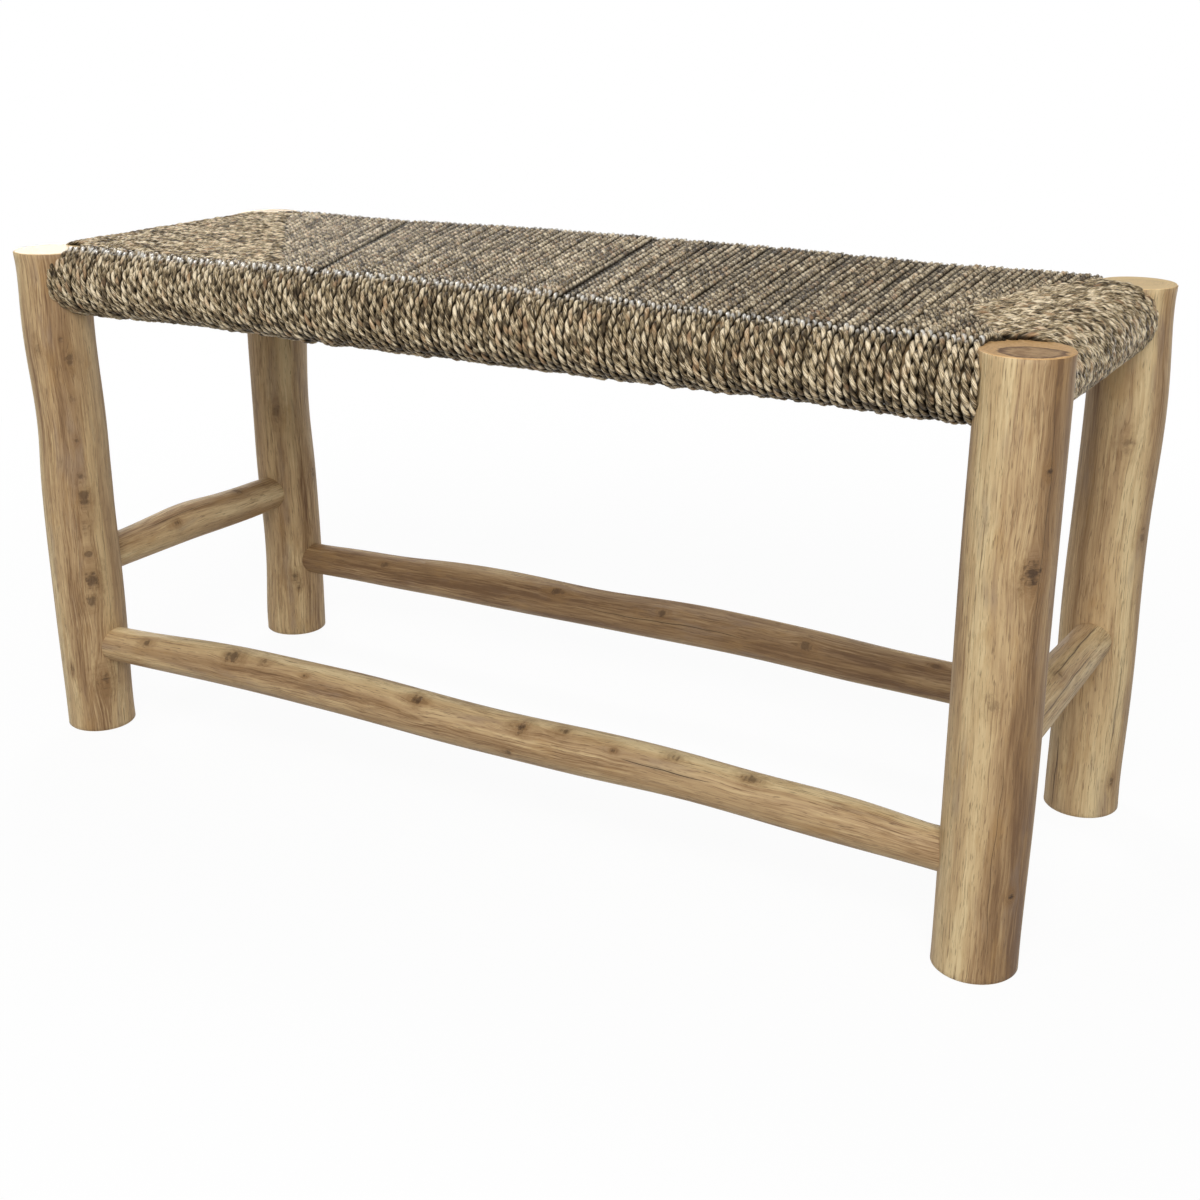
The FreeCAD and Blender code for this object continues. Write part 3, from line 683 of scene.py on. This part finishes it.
def measure_seat(count=33):
    """Rows of (place, height of the middle, half thickness, half depth of the flat part)."""
    rows = []
    for x in np.linspace(-SEAT_REACH, SEAT_REACH, count):
        top = seat_surface.ray_cast(Vector((x, 0, ABOVE)), Vector((0, 0, -1)))[0].z
        bottom = seat_surface.ray_cast(Vector((x, 0, BELOW)), Vector((0, 0, 1)))[0].z
        middle, half = (top + bottom) / 2, (top - bottom) / 2
        front = seat_surface.ray_cast(Vector((x, BEFORE, middle)), Vector((0, 1, 0)))[0].y
        rows.append((x, middle, half - CORD_RADIUS, -front - half))
    return np.array(rows)


seat_rows = measure_seat()
END_CENTRE = -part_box("woven_seat")[0].x - seat_rows[0, 2] - CORD_RADIUS
print("seat in mm:", np.round(seat_rows[::8] / MM, 1).tolist(), "end", round(END_CENTRE / MM, 1))


def seat_at(x):
    """Middle height, radius of the cord's turn and half depth, at places along the bench."""
    return [np.interp(x, seat_rows[:, 0], seat_rows[:, column]) for column in (1, 2, 3)]


# %% [markdown]
# Most turns of cord cross the bench from front to back, leaning left as they go. At each end a
# second set runs along the bench, round the short rail, and dives under the first set. A rule
# for which set lies on top at a given place is all that the winding needs: the other set sinks
# by one cord there, and what is well hidden is left out. The borders are lines of (place along
# the bench, depth), and the right one has a sloping front end as well.
# %% Which cord lies on top
LEFT_LINE = ((-0.385, 0.112), (-0.186, -0.132))
RIGHT_LINE = ((0.346, -0.132), (0.381, 0.070), (0.408, 0.130))
SLOPE_FROM, SLOPE_FALL, SLOPE_RUN = (0.346, -0.020), 0.095, 0.058
FIRST_ROW, LAST_ROW = -0.133, 0.141
LEG_RADIUS = 31.2 * MM
LEG_AXIS = (0.435, 0.147)
UNDER_LEG = 4.0 * MM
ONE_CORD = 2.05 * CORD_RADIUS
DIP_FROM, DIP_TO = -0.0015, 0.005


def read_table(table, place):
    """A value between the rows of a short table of (place, value)."""
    return np.interp(place, *zip(*table))


def line_x(line, y):
    """Where a border stands along the bench, at a depth."""
    return read_table(sorted((depth, x) for x, depth in line), y)


def cover(x, y):
    """Above zero where the cords along the bench are on top, by the distance to the border."""
    inside = np.minimum(y - FIRST_ROW, LAST_ROW - y)
    left = np.minimum((line_x(LEFT_LINE, y) - x) * 0.8, inside)
    sloping = (y - SLOPE_FROM[1] + SLOPE_FALL * (x - SLOPE_FROM[0]) / SLOPE_RUN) * 0.6
    right = np.minimum(np.minimum(x - line_x(RIGHT_LINE, y), sloping), inside)
    return np.maximum(left, right)


def smooth(value, low, high):
    """A smooth step from 0 to 1."""
    share = np.clip((value - low) / (high - low), 0, 1)
    return share * share * (3 - 2 * share)


def sunk(depth):
    """How far a cord dips under the other set, by its distance past the border."""
    return ONE_CORD * smooth(depth, DIP_FROM, DIP_TO)


def clear_runs(points, hidden):
    """The stretches of a cord that lie outside the legs and aren't hidden."""
    away = np.min([np.hypot(points[:, 0] - right * LEG_AXIS[0], points[:, 1] - back * LEG_AXIS[1])
                   for right in (-1, 1) for back in (-1, 1)], axis=0)
    keep = (away > LEG_RADIUS - UNDER_LEG) & ~hidden
    edges = np.flatnonzero(np.diff(np.concatenate([[0], keep.astype(int), [0]])))
    return [points[start:end] for start, end in zip(edges[::2], edges[1::2]) if end - start > 4]


print("halfway back, the crossing set is on top from", round(line_x(LEFT_LINE, 0.0) / MM), "to",
      round(line_x(RIGHT_LINE, 0.0) / MM), "mm")

# %% [markdown]
# A cord's path starts under the seat, comes up round the front rail, crosses the top, goes down
# the back and returns. Its places are listed once as shares of the flat part and angles of the
# turn, and the measured outline gives them their size. Small random waves keep the turns from
# looking machined.
# %% A turn from front to back
LEAN_DEPTH = 0.15
WANDER, RIPPLE = 0.35 * MM, 0.25 * MM
ON_TOP = -0.02
FULL_TURN = 6.28


def loop_places():
    """Share of the flat part and angle of the turn, once round the seat."""
    flat, turn = 64, 20
    share = np.concatenate([np.linspace(0, -1, flat // 2), np.full(turn, -1.0),
                            np.linspace(-1, 1, flat), np.full(turn, 1.0),
                            np.linspace(1, 0, flat // 2)])
    angle = np.concatenate([np.full(flat // 2, 270.0), np.linspace(263, 97, turn),
                            np.full(flat, 90.0), np.linspace(83, -83, turn),
                            np.full(flat // 2, -90.0)])
    return share, np.radians(angle)


def cross_path(random, front_x, lean, slack, groove=0.0):
    """One turn of cord over the front and back rails, and how deep its top is covered."""
    share, angle = loop_places()
    flat = np.full(share.shape, front_x)
    for _ in range(3):
        middle, radius, half = seat_at(flat)
        y = share * half
        flat = front_x + lean * (np.clip(y, -LEAN_DEPTH, LEAN_DEPTH) + LEAN_DEPTH)
    phase, rate = random.uniform(0, FULL_TURN, 2), random.uniform(14, 40, 2)
    x = flat + WANDER * np.sin(rate[0] * y * 2 + phase[0]) \
        + 0.3 * MM * np.sin(angle * 2.5 + phase[1])
    depth = np.where(np.abs(share) < 1, cover(x, y), ON_TOP)
    loose = slack * smooth(np.abs(np.sin(angle)), 0.5, 0.95) \
        + groove * smooth(np.sin(angle), 0.8, 1.0) \
        + random.normal(0, 0.5) * smooth(-np.sin(angle), 0.4, 0.95)
    turn = radius - (sunk(depth) + loose * MM + RIPPLE * np.sin(rate[1] * y + phase[0]))
    points = np.stack([x, y + turn * np.cos(angle), middle + turn * np.sin(angle)], -1)
    return points, depth


# %% [markdown]
# Along the bench the turns change. They lean further towards the left, and at a few places they
# are loose and sink into dark grooves. Short tables say how far a turn leans per metre of depth,
# and how deep each groove is in millimetres, by the place along the bench. Near the ends a turn
# stops where the rows along the bench lie over it, and short turns at the back fill the corners.
# %% All turns from front to back
LEANS = ((-0.41, -0.53), (-0.25, -0.485), (-0.18, -0.44), (-0.14, -0.428), (-0.1, -0.408),
         (-0.06, -0.36), (-0.02, -0.34), (0.06, -0.28), (0.14, -0.252), (0.22, -0.192),
         (0.3, -0.152), (0.341, -0.136), (0.345, -0.02), (0.41, 0.02))
GROOVES = ((0.094, 2.6), (0.0895, 1.2), (-0.132, 2.2), (0.192, 1.8), (0.252, 1.8), (0.306, 0.7),
           (-0.02, 1.0))
GROOVE_WIDTH = 2.6 * MM
LOOSE_FROM, LOOSE_TO = 0.1, 0.35
EXTRA_LOOSE, MOST_LOOSE = 0.45, 1.6


def groove_at(random, front_x):
    """How deep a turn sinks where the winding is loose, in millimetres."""
    groove = sum(depth * math.exp(-((front_x - place) / GROOVE_WIDTH) ** 2)
                 for place, depth in GROOVES)
    if LOOSE_FROM < front_x < LOOSE_TO:
        groove = min(groove + random.uniform(0, EXTRA_LOOSE), MOST_LOOSE)
    return groove


WELL_HIDDEN, DEEP_HIDDEN = 0.012, 0.022
DEEP_FROM, LEFT_BREAK, RIGHT_BREAK = -0.26, -0.25, 0.343
LEFT_STOP, RIGHT_STOP = -0.09, 0.02


def front_hidden(front_x, y, depth):
    """Where a turn that starts in front is left out, because other cord lies over it."""
    hidden = depth > (DEEP_HIDDEN if DEEP_FROM < front_x < RIGHT_BREAK else WELL_HIDDEN)
    if front_x < LEFT_BREAK:
        hidden |= y > LEFT_STOP
    elif front_x > RIGHT_BREAK:
        hidden |= y > RIGHT_STOP
    return hidden


FRONT_PITCH = 5.77 * MM
FRONT_PLACES = np.arange(-0.4155 + FRONT_PITCH, 0.4100, FRONT_PITCH)
PLACE_SPREAD = 0.25
BACK_PLACES = np.concatenate([np.arange(-0.4155, -0.391, 6.6 * MM),
                              np.arange(0.3061, 0.4156, 6.5 * MM)])
BACK_LEANS = ((0.0, 0.0), (0.3, -0.134), (0.325, -0.122), (0.36, -0.08), (0.41, -0.03))
BACK_LEFT_FROM = 0.09
BACK_RIGHT_FROM = ((0.306, -0.12), (0.3125, -0.08), (0.319, -0.05), (0.36, -0.03), (0.408, 0.10))


def cross_cords(random):
    """All turns over the long rails: (points, where they are hidden)."""
    cords = []
    for front_x in FRONT_PLACES:
        front_x = front_x + random.normal(0, PLACE_SPREAD) * MM
        groove = groove_at(random, front_x)
        points, depth = cross_path(random, front_x, read_table(LEANS, front_x),
                                   abs(random.normal(0, 0.3)), groove)
        cords.append((points, front_hidden(front_x, points[:, 1], depth)))
    for back_x in BACK_PLACES:
        lean = read_table(BACK_LEANS, back_x)
        points, depth = cross_path(random, back_x - lean * 2 * LEAN_DEPTH, lean,
                                   abs(random.normal(0, 0.35)))
        shows_from = BACK_LEFT_FROM if back_x < 0 else read_table(BACK_RIGHT_FROM, back_x)
        cords.append((points, (depth > WELL_HIDDEN) | (points[:, 1] < shows_from)))
    return cords


print(len(FRONT_PLACES), "turns start in front and", len(BACK_PLACES), "at the back")

# %% [markdown]
# The cords at the ends are the same idea turned by a quarter. They come out from under the
# crossing set, run to the end, turn round the short rail and go back below. Inside the seat the
# same rows run on in two layers, half a row apart, so that no gap between turns shows the floor.
# %% Paths round the short rails
END_ROWS = np.arange(-0.1285, 0.1365, 5.75 * MM)
START_LEFT, START_RIGHT = 0.12, 0.31
END_HIDDEN = 0.014
INNER_LAYERS = ((0.0, 2.15), (2.9 * MM, 4.2))
INNER_MARGIN = 0.008


def end_path(random, y, side):
    """One turn of cord round a short rail, seen from under the crossing set to there again."""
    flat, turn = 60, 24
    reach = np.linspace(START_LEFT if side < 0 else START_RIGHT, END_CENTRE, flat)
    angle = np.radians(np.concatenate([np.full(flat, 90.0), np.linspace(84, -84, turn),
                                       np.full(flat, -90.0)]))
    base = np.concatenate([reach, np.full(turn, END_CENTRE), reach[::-1]])
    phase, rate = random.uniform(0, FULL_TURN, 2), random.uniform(20, 50, 2)
    line = y + WANDER * np.sin(rate[0] * base * 2 + phase[0]) \
        + WANDER * np.sin(angle * 2 + phase[1])
    middle, radius, _ = seat_at(side * base)
    depth = np.where(base > END_CENTRE - 1e-6, ON_TOP, -cover(side * base, line))
    turn_radius = radius - sunk(depth) - RIPPLE * np.sin(rate[1] * base + phase[1])
    x = side * (base + turn_radius * np.cos(angle))
    points = np.stack([x, line, middle + turn_radius * np.sin(angle)], -1)
    return points, depth > END_HIDDEN


def inner_cords(random):
    """The rows below the crossing set, with a phase and a tone each."""
    runs = []
    for offset, layer in INNER_LAYERS:
        for y in END_ROWS + offset:
            x = np.linspace(line_x(LEFT_LINE, y) + INNER_MARGIN,
                            line_x(RIGHT_LINE, y) - INNER_MARGIN, 60)
            middle, radius, _ = seat_at(x)
            points = np.stack([x, y + 0 * x, middle + radius - layer * CORD_RADIUS], -1)
            runs.append((points, random.uniform(0, FULL_TURN), random.uniform(0, 1)))
    return runs


def end_cords(random, side):
    """All turns round one short rail."""
    return [end_path(random, y + random.normal(0, PLACE_SPREAD) * MM, side) for y in END_ROWS]


print(len(END_ROWS), "rows round each short rail")

# %% [markdown]
# Two-ply cord has two strands that twist round each other, so its section is a waisted oval that
# turns as it goes. Geometry Nodes do exactly this: the path is cut into even steps, its tilt
# grows with its length, and the oval is swept along it. The tilt makes the lay. The same tree
# serves every cord, and its inputs are the cord maker's numbers.
# %% The cord tree
def make_cord_tree():
    """A node group that turns a path into two-ply cord."""
    tree = bpy.data.node_groups.new("two_ply_cord", "GeometryNodeTree")
    sockets = tree.interface
    sockets.new_socket("Paths", in_out="INPUT", socket_type="NodeSocketGeometry")
    for name in ("Step", "Lay", "Waist"):
        sockets.new_socket(name, in_out="INPUT", socket_type="NodeSocketFloat")
    sockets.new_socket("Sides", in_out="INPUT", socket_type="NodeSocketInt")
    sockets.new_socket("Finish", in_out="INPUT", socket_type="NodeSocketMaterial")
    sockets.new_socket("Cord", in_out="OUTPUT", socket_type="NodeSocketGeometry")
    graph = Graph(tree)
    source = tree.nodes.new("NodeGroupInput")
    paths, step, lay, waist, sides, finish = (
        Wire(graph, source.outputs[name])
        for name in ("Paths", "Step", "Lay", "Waist", "Sides", "Finish"))

    curve = graph.node("GeometryNodeMeshToCurve", {}, {"Mesh": paths})
    curve = graph.node("GeometryNodeResampleCurve", {"mode": "LENGTH"},
                       {"Curve": curve, "Length": step})
    along = graph.node("GeometryNodeSplineParameter", {}, {}, "Length")
    phase = graph.node("GeometryNodeInputNamedAttribute", {"data_type": "FLOAT"},
                       {"Name": "phase"}, "Attribute")
    twist = along * (-2 * math.pi) / lay + phase
    curve = graph.node("GeometryNodeSetCurveTilt", {}, {"Curve": curve, "Tilt": twist})
    curve = graph.node("GeometryNodeStoreNamedAttribute",
                       {"data_type": "FLOAT", "domain": "POINT"},
                       {"Geometry": curve, "Name": "cord_along", "Value": along})
    thick = graph.node("GeometryNodeInputNamedAttribute", {"data_type": "FLOAT"},
                       {"Name": "thick"}, "Attribute")

    section = graph.node("GeometryNodeCurvePrimitiveCircle", {"mode": "RADIUS"},
                         {"Resolution": sides, "Radius": 1.0}, "Curve")
    place = graph.node("GeometryNodeInputPosition")
    place = graph.node("ShaderNodeVectorMath", {"operation": "MULTIPLY"},
                       {0: place, 1: (0.9, 1, 1)})
    place = graph.node("ShaderNodeVectorMath", {"operation": "NORMALIZE"}, {0: place})
    section = graph.node("GeometryNodeStoreNamedAttribute",
                         {"data_type": "FLOAT_VECTOR", "domain": "POINT"},
                         {"Geometry": section, "Name": "strand", "Value": place})
    across = abs(graph.node("ShaderNodeSeparateXYZ", {}, {"Vector": place}, "X"))
    lobes = waist + (1 - waist) * across ** 0.68
    oval = graph.node("ShaderNodeVectorMath", {"operation": "SCALE"},
                      {0: place, "Scale": lobes})
    section = graph.node("GeometryNodeSetPosition", {}, {"Geometry": section, "Position": oval})

    cord = graph.node("GeometryNodeCurveToMesh", {},
                      {"Curve": curve, "Profile Curve": section, "Scale": thick,
                       "Fill Caps": True})
    cord = graph.node("GeometryNodeSetShadeSmooth", {}, {"Geometry": cord, "Shade Smooth": True})
    cord = graph.node("GeometryNodeRealizeInstances", {}, {"Geometry": cord})
    cord = graph.node("GeometryNodeSetMaterial", {}, {"Geometry": cord, "Material": finish})
    output = tree.nodes.new("NodeGroupOutput")
    tree.links.new(cord.socket, output.inputs["Cord"])
    return tree


cord_tree = make_cord_tree()
print("cord tree:", len(cord_tree.nodes), "nodes")

# %% [markdown]
# Seagrass dries to straw, olive and grey-brown, and each strand changes colour every centimetre
# or so. The noise therefore reads the strand's own place: which strand it is, how far along the
# cord and how far round it. Fine fibres follow the strand because the section turns with it. The
# crease between strands is darkened as painted shade, and so is what lies deep in the winding, by
# a value that is measured on the finished cord. Along the long edges, pale broken strokes on the
# strands' ridges are a painted highlight for the bright line where the cord bends over the rail,
# and a coat there catches the light behind as real gloss. The gloss elsewhere is tinted warm,
# because a neutral one lies on dark grass like haze.
# %% Cord finish
def make_cord_finish():
    """The finish of the seagrass cord."""
    material, graph = new_material("seagrass_cord")
    across, side, _ = split_vector(graph, "strand")
    along = attribute(graph, "cord_along")
    tone = attribute(graph, "cord_tone")
    which = soft_step(graph, across, -0.05, 0.05)
    even = (1, 1, 1)
    patch_place = place_from(graph, along * 110 + which * 31.7, tone * 977,
                             which * 17.3 + side * 0.25)
    patches = stretched_noise(graph, patch_place, even, 2, 0.6)
    fibre_place = place_from(graph, along * 100 + which * 5.1, side * 5 + tone * 577, across * 5)
    fibres = stretched_noise(graph, fibre_place, even, 3, 0.7)
    warm = stretched_noise(graph, place_from(graph, along * 60 + which * 71.0, tone * 431),
                           even, 1, 0.5)
    level = (patches - 0.5) * 2.9 + (fibres - 0.5) * 4.2 + (tone - 0.5) * 0.3 + 0.5
    colour = graph.node("ShaderNodeValToRGB", {"stops": (
        (0.0, screen(46, 36, 26)), (0.25, screen(106, 90, 67)), (0.5, screen(156, 137, 105)),
        (0.72, screen(198, 176, 136)), (0.96, screen(252, 235, 204)))}, {"Fac": level}, "Color")
    # Painted shade: the crease between strands and what lies deep in the winding are darkened.
    crease = 1 - soft_step(graph, abs(across), 0.02, 0.5)
    deep, glint_band, _ = split_vector(graph, "wear")
    shade = soft_step(graph, deep, 0.4, 1.15)
    # Painted highlight: pale strokes on the ridges along the long edges, which also get a glossy
    # coat.
    ridge = 1 - soft_step(graph, abs(side), 0.45, 0.85)
    strokes = soft_step(graph, fibres, 0.38, 0.54) * 0.8 + 0.2
    glint_paint_and_coat = glint_band * (1 - shade) * ridge * strokes
    colour = paint_over(graph, colour, (
        (soft_step(graph, warm, 0.56, 0.72) * 0.42, (204, 162, 122)),
        (crease * 0.68, (30, 24, 16)), (shade * 0.92, (22, 17, 11)),
        (glint_paint_and_coat * 0.95, (255, 251, 242))))
    rough = 0.38 - (fibres - 0.5) * 0.5
    finish_material(graph, {"Base Color": colour, "Roughness": rough, "Specular IOR Level": 0.42,
                            "Specular Tint": (1.0, 0.84, 0.62, 1.0), "Coat Weight": glint_paint_and_coat,
                            "Coat Roughness": 0.18, "Coat IOR": 3.0},
                    fibres - crease * 0.6, 0.4 * MM)
    return material


seagrass = make_cord_finish()
print("finish:", seagrass.name)

# %% [markdown]
# The paths of one piece go into one mesh of bare edges. Its points carry each cord's phase,
# thickness and tone, and the modifier reads them. Neighbouring cords are set a quarter turn
# apart on average, because their crowns settle into each other's creases. The result becomes a
# plain mesh, which takes the place of the seat's CAD node.
# %% Wind the seat
LAY = 19.0 * MM
WAIST = 0.28
THICK_SHARE, THICK_SPREAD = 0.96, 0.045
# Extra depth on the top and below the seat's middle, which darkens the creases there as painted
# shade.
TOP_SHADE, SHADE_BELOW = 0.1, 0.38
BATCHES = 8


def path_mesh(name, runs, random):
    """All paths of one piece as edges, with the values that the cord tree reads."""
    points, edges, phases, thicks, tones = [], [], [], [], []
    for run, phase, tone in runs:
        start = sum(len(batch) for batch in points)
        points.append(run)
        edges += [(start + step, start + step + 1) for step in range(len(run) - 1)]
        phases.append(np.full(len(run), phase))
        thick = CORD_RADIUS * random.normal(THICK_SHARE, THICK_SPREAD)
        thicks.append(np.full(len(run), thick))
        tones.append(np.full(len(run), tone))
    mesh = bpy.data.meshes.new(name)
    mesh.from_pydata(np.concatenate(points).tolist(), edges, [])
    for label, values in (("phase", phases), ("thick", thicks), ("cord_tone", tones)):
        add_values(mesh, label, np.concatenate(values))
    return mesh


def painted_shade_and_glint(mesh):
    """Each point's depth below the seat's surface in cord radii, which sets the painted shade, and
    the band along the long edges that gets the painted highlight. The top and, more so, the lower
    half count as deeper, for more painted shade there."""
    points = np.zeros(len(mesh.vertices) * 3)
    mesh.vertices.foreach_get("co", points)
    x, y, z = points.reshape(-1, 3).T
    middle, radius, half = seat_at(x)
    off = np.stack([x - np.clip(x, -END_CENTRE, END_CENTRE), y - np.clip(y, -half, half),
                    z - middle])
    deep = (radius + CORD_RADIUS - np.linalg.norm(off, axis=0)) / CORD_RADIUS
    past = (np.abs(y) - half) / MM
    # The band along the long edges where the painted highlight lies.
    glint_band = smooth(past, -1, 1.0) * (1 - smooth(past, 7, 12)) * (z > middle)
    # More depth, and so more painted shade, on the top and the lower half.
    deep = deep + TOP_SHADE * smooth(-past, 0, 4) * (z > middle)
    deep = deep + SHADE_BELOW * smooth((middle - z) / radius, 0.2, 0.9)
    return np.stack([deep, glint_band, 0 * deep], -1)


def wind(name, runs, random, sides=12, step=2.3 * MM):
    """One piece of wound cord: paths, the cord tree, then a plain mesh."""
    piece = bpy.data.objects.new(name, path_mesh(name + "_paths", runs, random))
    scene.collection.objects.link(piece)
    modifier = piece.modifiers.new("cord", "NODES")
    modifier.node_group = cord_tree
    values = {"Step": step, "Lay": LAY, "Waist": WAIST, "Sides": sides, "Finish": seagrass}
    for item in cord_tree.interface.items_tree:
        if item.in_out == "INPUT" and item.name in values:
            modifier[item.identifier] = values[item.name]
    shown = piece.evaluated_get(bpy.context.evaluated_depsgraph_get())
    mesh = bpy.data.meshes.new_from_object(shown)
    bpy.data.objects.remove(piece)
    mesh.name = name
    for label in ("phase", "thick"):
        if label in mesh.attributes:
            mesh.attributes.remove(mesh.attributes[label])
    add_values(mesh, "wear", painted_shade_and_glint(mesh))
    new_piece(name, mesh, seagrass, "woven_seat")
    triangles = sum(len(face.vertices) - 2 for face in mesh.polygons)
    print(name, len(runs), "runs,", triangles, "triangles")


def label_runs(cords, random):
    """Every visible run, with a phase that follows its neighbour and a tone of its own."""
    runs, phase = [], 0.0
    for points, hidden in cords:
        phase += math.pi / 2 + random.normal(0, 0.45)
        tone = random.uniform(0, 1)
        runs += [(run, phase, tone) for run in clear_runs(points, hidden)]
    return runs


random = np.random.default_rng(11)
crossing = label_runs(cross_cords(random), random)
wound = np.cumsum([np.linalg.norm(np.diff(run, axis=0), axis=1).sum()
                   for run, _, _ in crossing])
batch = (wound * (BATCHES - 0.001) / wound[-1]).astype(int)
for number in range(BATCHES):
    wind(f"seat_cord_{number}", [crossing[index] for index in np.flatnonzero(batch == number)],
         random)
print("cord over the long rails:", round(wound[-1], 1), "m")
for word, side in (("left", -1), ("right", 1)):
    wind(f"seat_cord_{word}_end", label_runs(end_cords(random, side), random), random)
wind("seat_cord_inner", inner_cords(random), random, sides=8, step=6.0 * MM)

# %% [markdown]
# Two kinds of CAD node stay as they are, because the cord hides them: the seat rails and the
# tacks that hold the cord's ends. They still get a finish, read from Object coordinates, which
# suits a solid that isn't bent.
# %% Hidden rails and tacks
def make_rail_finish():
    """Rough teak for the rails inside the winding."""
    material, graph = new_material("rough_teak")
    place = graph.node("ShaderNodeTexCoord", {}, {}, "Object")
    grain = stretched_noise(graph, place, (60, 60, 60), 4, 0.6)
    colour = mix_colours(graph, soft_step(graph, grain, 0.35, 0.7), screen(128, 100, 68),
                         screen(172, 144, 104))
    finish_material(graph, {"Base Color": colour, "Roughness": 0.75}, grain, 0.3 * MM)
    return material


def make_tack_finish():
    """Plain bright steel with faint handling marks."""
    material, graph = new_material("tack_steel")
    place = graph.node("ShaderNodeTexCoord", {}, {}, "Object")
    marks = stretched_noise(graph, place, (900, 900, 900), 2, 0.5)
    finish_material(graph, {"Base Color": screen(190, 188, 184), "Metallic": 1.0,
                            "Roughness": 0.3 + marks * 0.2}, marks, 0.02 * MM)
    return material


rough_teak, tack_steel = make_rail_finish(), make_tack_finish()
for name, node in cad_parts.items():
    if name.startswith("seat_rail") or name == "cord_tacks":
        node.data.materials.clear()
        node.data.materials.append(tack_steel if name == "cord_tacks" else rough_teak)
        print(name, "keeps its CAD shape")

# %% [markdown]
# The bench stands on a plain white floor. A camera ray sees most of the floor as pure white and
# a little of it as lit paint, so the background stays white and the contact shadow survives.
# Light that bounces off it meets a greyer paint, because the real bench is darker underneath.
# The world is full white to the camera, but its mirror image in the cord's gloss stays soft,
# because full white there would haze the whole seat.
# %% Floor and world
FLOOR_SIZE = 24
WHITE_NEAR, WHITE_FAR = 0.94, 0.06
STUDIO_LIGHT = 0.24


def seen_by(graph, *kinds):
    """1 for a ray of one of these kinds, 0 for any other."""
    return sum(graph.node("ShaderNodeLightPath", {}, {}, f"Is {kind} Ray") for kind in kinds)


def make_floor():
    """A white floor that shows a soft shadow near the bench."""
    bpy.ops.mesh.primitive_plane_add(size=FLOOR_SIZE, location=(0, 0, 0))
    floor = bpy.context.object
    floor.name = "floor"
    material, graph = new_material("white_floor")
    place = graph.node("ShaderNodeTexCoord", {}, {}, "Object")
    far = graph.node("ShaderNodeVectorMath", {"operation": "LENGTH"}, {0: place}, "Value")
    shade = mix_colours(graph, seen_by(graph, "Camera"), (0.5, 0.5, 0.49, 1),
                        (0.95, 0.95, 0.95, 1))
    paint = graph.node("ShaderNodeBsdfDiffuse", {}, {"Color": shade})
    white = graph.node("ShaderNodeEmission", {}, {"Color": (1, 1, 1, 1), "Strength": 1.0})
    share = soft_step(graph, far, 0.6, 1.6) * WHITE_FAR + WHITE_NEAR
    bright = seen_by(graph, "Camera", "Glossy", "Transmission") * share
    show_surface(graph, graph.node("ShaderNodeMixShader", {}, {0: bright, 1: paint, 2: white}))
    floor.data.materials.append(material)


def make_world(light):
    """A white studio: full white to camera and transmission rays, softer as light."""
    world = bpy.data.worlds.new("studio")
    scene.world = world
    world.use_nodes = True
    world.node_tree.nodes.clear()
    graph = Graph(world.node_tree)
    strength = seen_by(graph, "Camera", "Transmission") * (1 - light) + light
    show_surface(graph, graph.node("ShaderNodeBackground", {}, {
        "Color": (1, 1, 1, 1), "Strength": strength}), "ShaderNodeOutputWorld")


make_floor()
make_world(STUDIO_LIGHT)
print("floor and world ready")

# %% [markdown]
# Eight soft boxes light the bench. The large one high in front lights the apron and the legs,
# with two small ones beside it for crisper edges and one at the right for the end. Behind the
# bench, a small high one glints on each turn of cord where it bends over the front rail, a faint
# one lifts the long edges, a low one at the left skims the cut tops of the left legs, and a long
# one below the seat's height paints pale upper edges on the stretchers without hazing the seat.
# %% Lamps
LAMPS = (
    ("front_box", (1.15, -2.37, 2.42), (0, 0, 0.3), (1.6, 1.6), 64),
    ("edge_box", (-1.35, 2.45, 1.55), (0, 0, 0.45), (1.9, 0.85), 1.5),
    ("rim_box", (-1.0, 1.1, 2.4), (0, -0.15, 0.45), (0.55, 0.55), 13),
    ("low_box", (-2.3, 1.52, 0.8), (-0.43, 0, 0.45), (1.1, 0.5), 12),
    ("back_box", (0.3, 2.6, 0.28), (0, 0, 0.2), (2.2, 0.35), 12),
    ("side_box", (2.9, -0.3, 1.4), (0, 0, 0.3), (1.6, 1.6), 4.2),
    ("left_spot", (-0.7, -2.5, 1.7), (0, 0, 0.3), (0.3, 0.3), 10),
    ("right_spot", (1.9, -2.2, 1.1), (0, 0, 0.3), (0.3, 0.3), 7),
)


def soft_box(name, place, target, size, power):
    """A rectangular lamp aimed at a point, with its size in metres and its power in watts."""
    data = bpy.data.lights.new(name, "AREA")
    data.shape = "RECTANGLE"
    data.size, data.size_y = size
    data.energy = power
    lamp = bpy.data.objects.new(name, data)
    lamp.location = place
    lamp.rotation_euler = (Vector(target) - Vector(place)).to_track_quat("-Z", "Y").to_euler()
    lamp.visible_camera = False
    scene.collection.objects.link(lamp)


for lamp in LAMPS:
    soft_box(*lamp)
print("lamps:", [lamp[0] for lamp in LAMPS])

# %% [markdown]
# The camera's place was worked out from the legs' tops and feet in the photograph. It looks
# down by twenty degrees from the front right, through a lens of about fifty millimetres. The
# Standard view shows each colour about as it is written.
# %% Camera
camera_data = bpy.data.cameras.new("camera")
camera_data.lens = 50.4
camera_data.sensor_width = 36.0
camera = bpy.data.objects.new("camera", camera_data)
camera.location = (0.7258, -1.2001, 0.6654)
camera.rotation_euler = Euler((math.radians(69.987), 0.0, math.radians(29.84)), "XYZ")
scene.collection.objects.link(camera)
scene.camera = camera
scene.view_settings.view_transform = "Standard"
print("camera at", [round(c, 3) for c in camera.location], "with a lens of",
      round(camera_data.lens, 1), "mm")
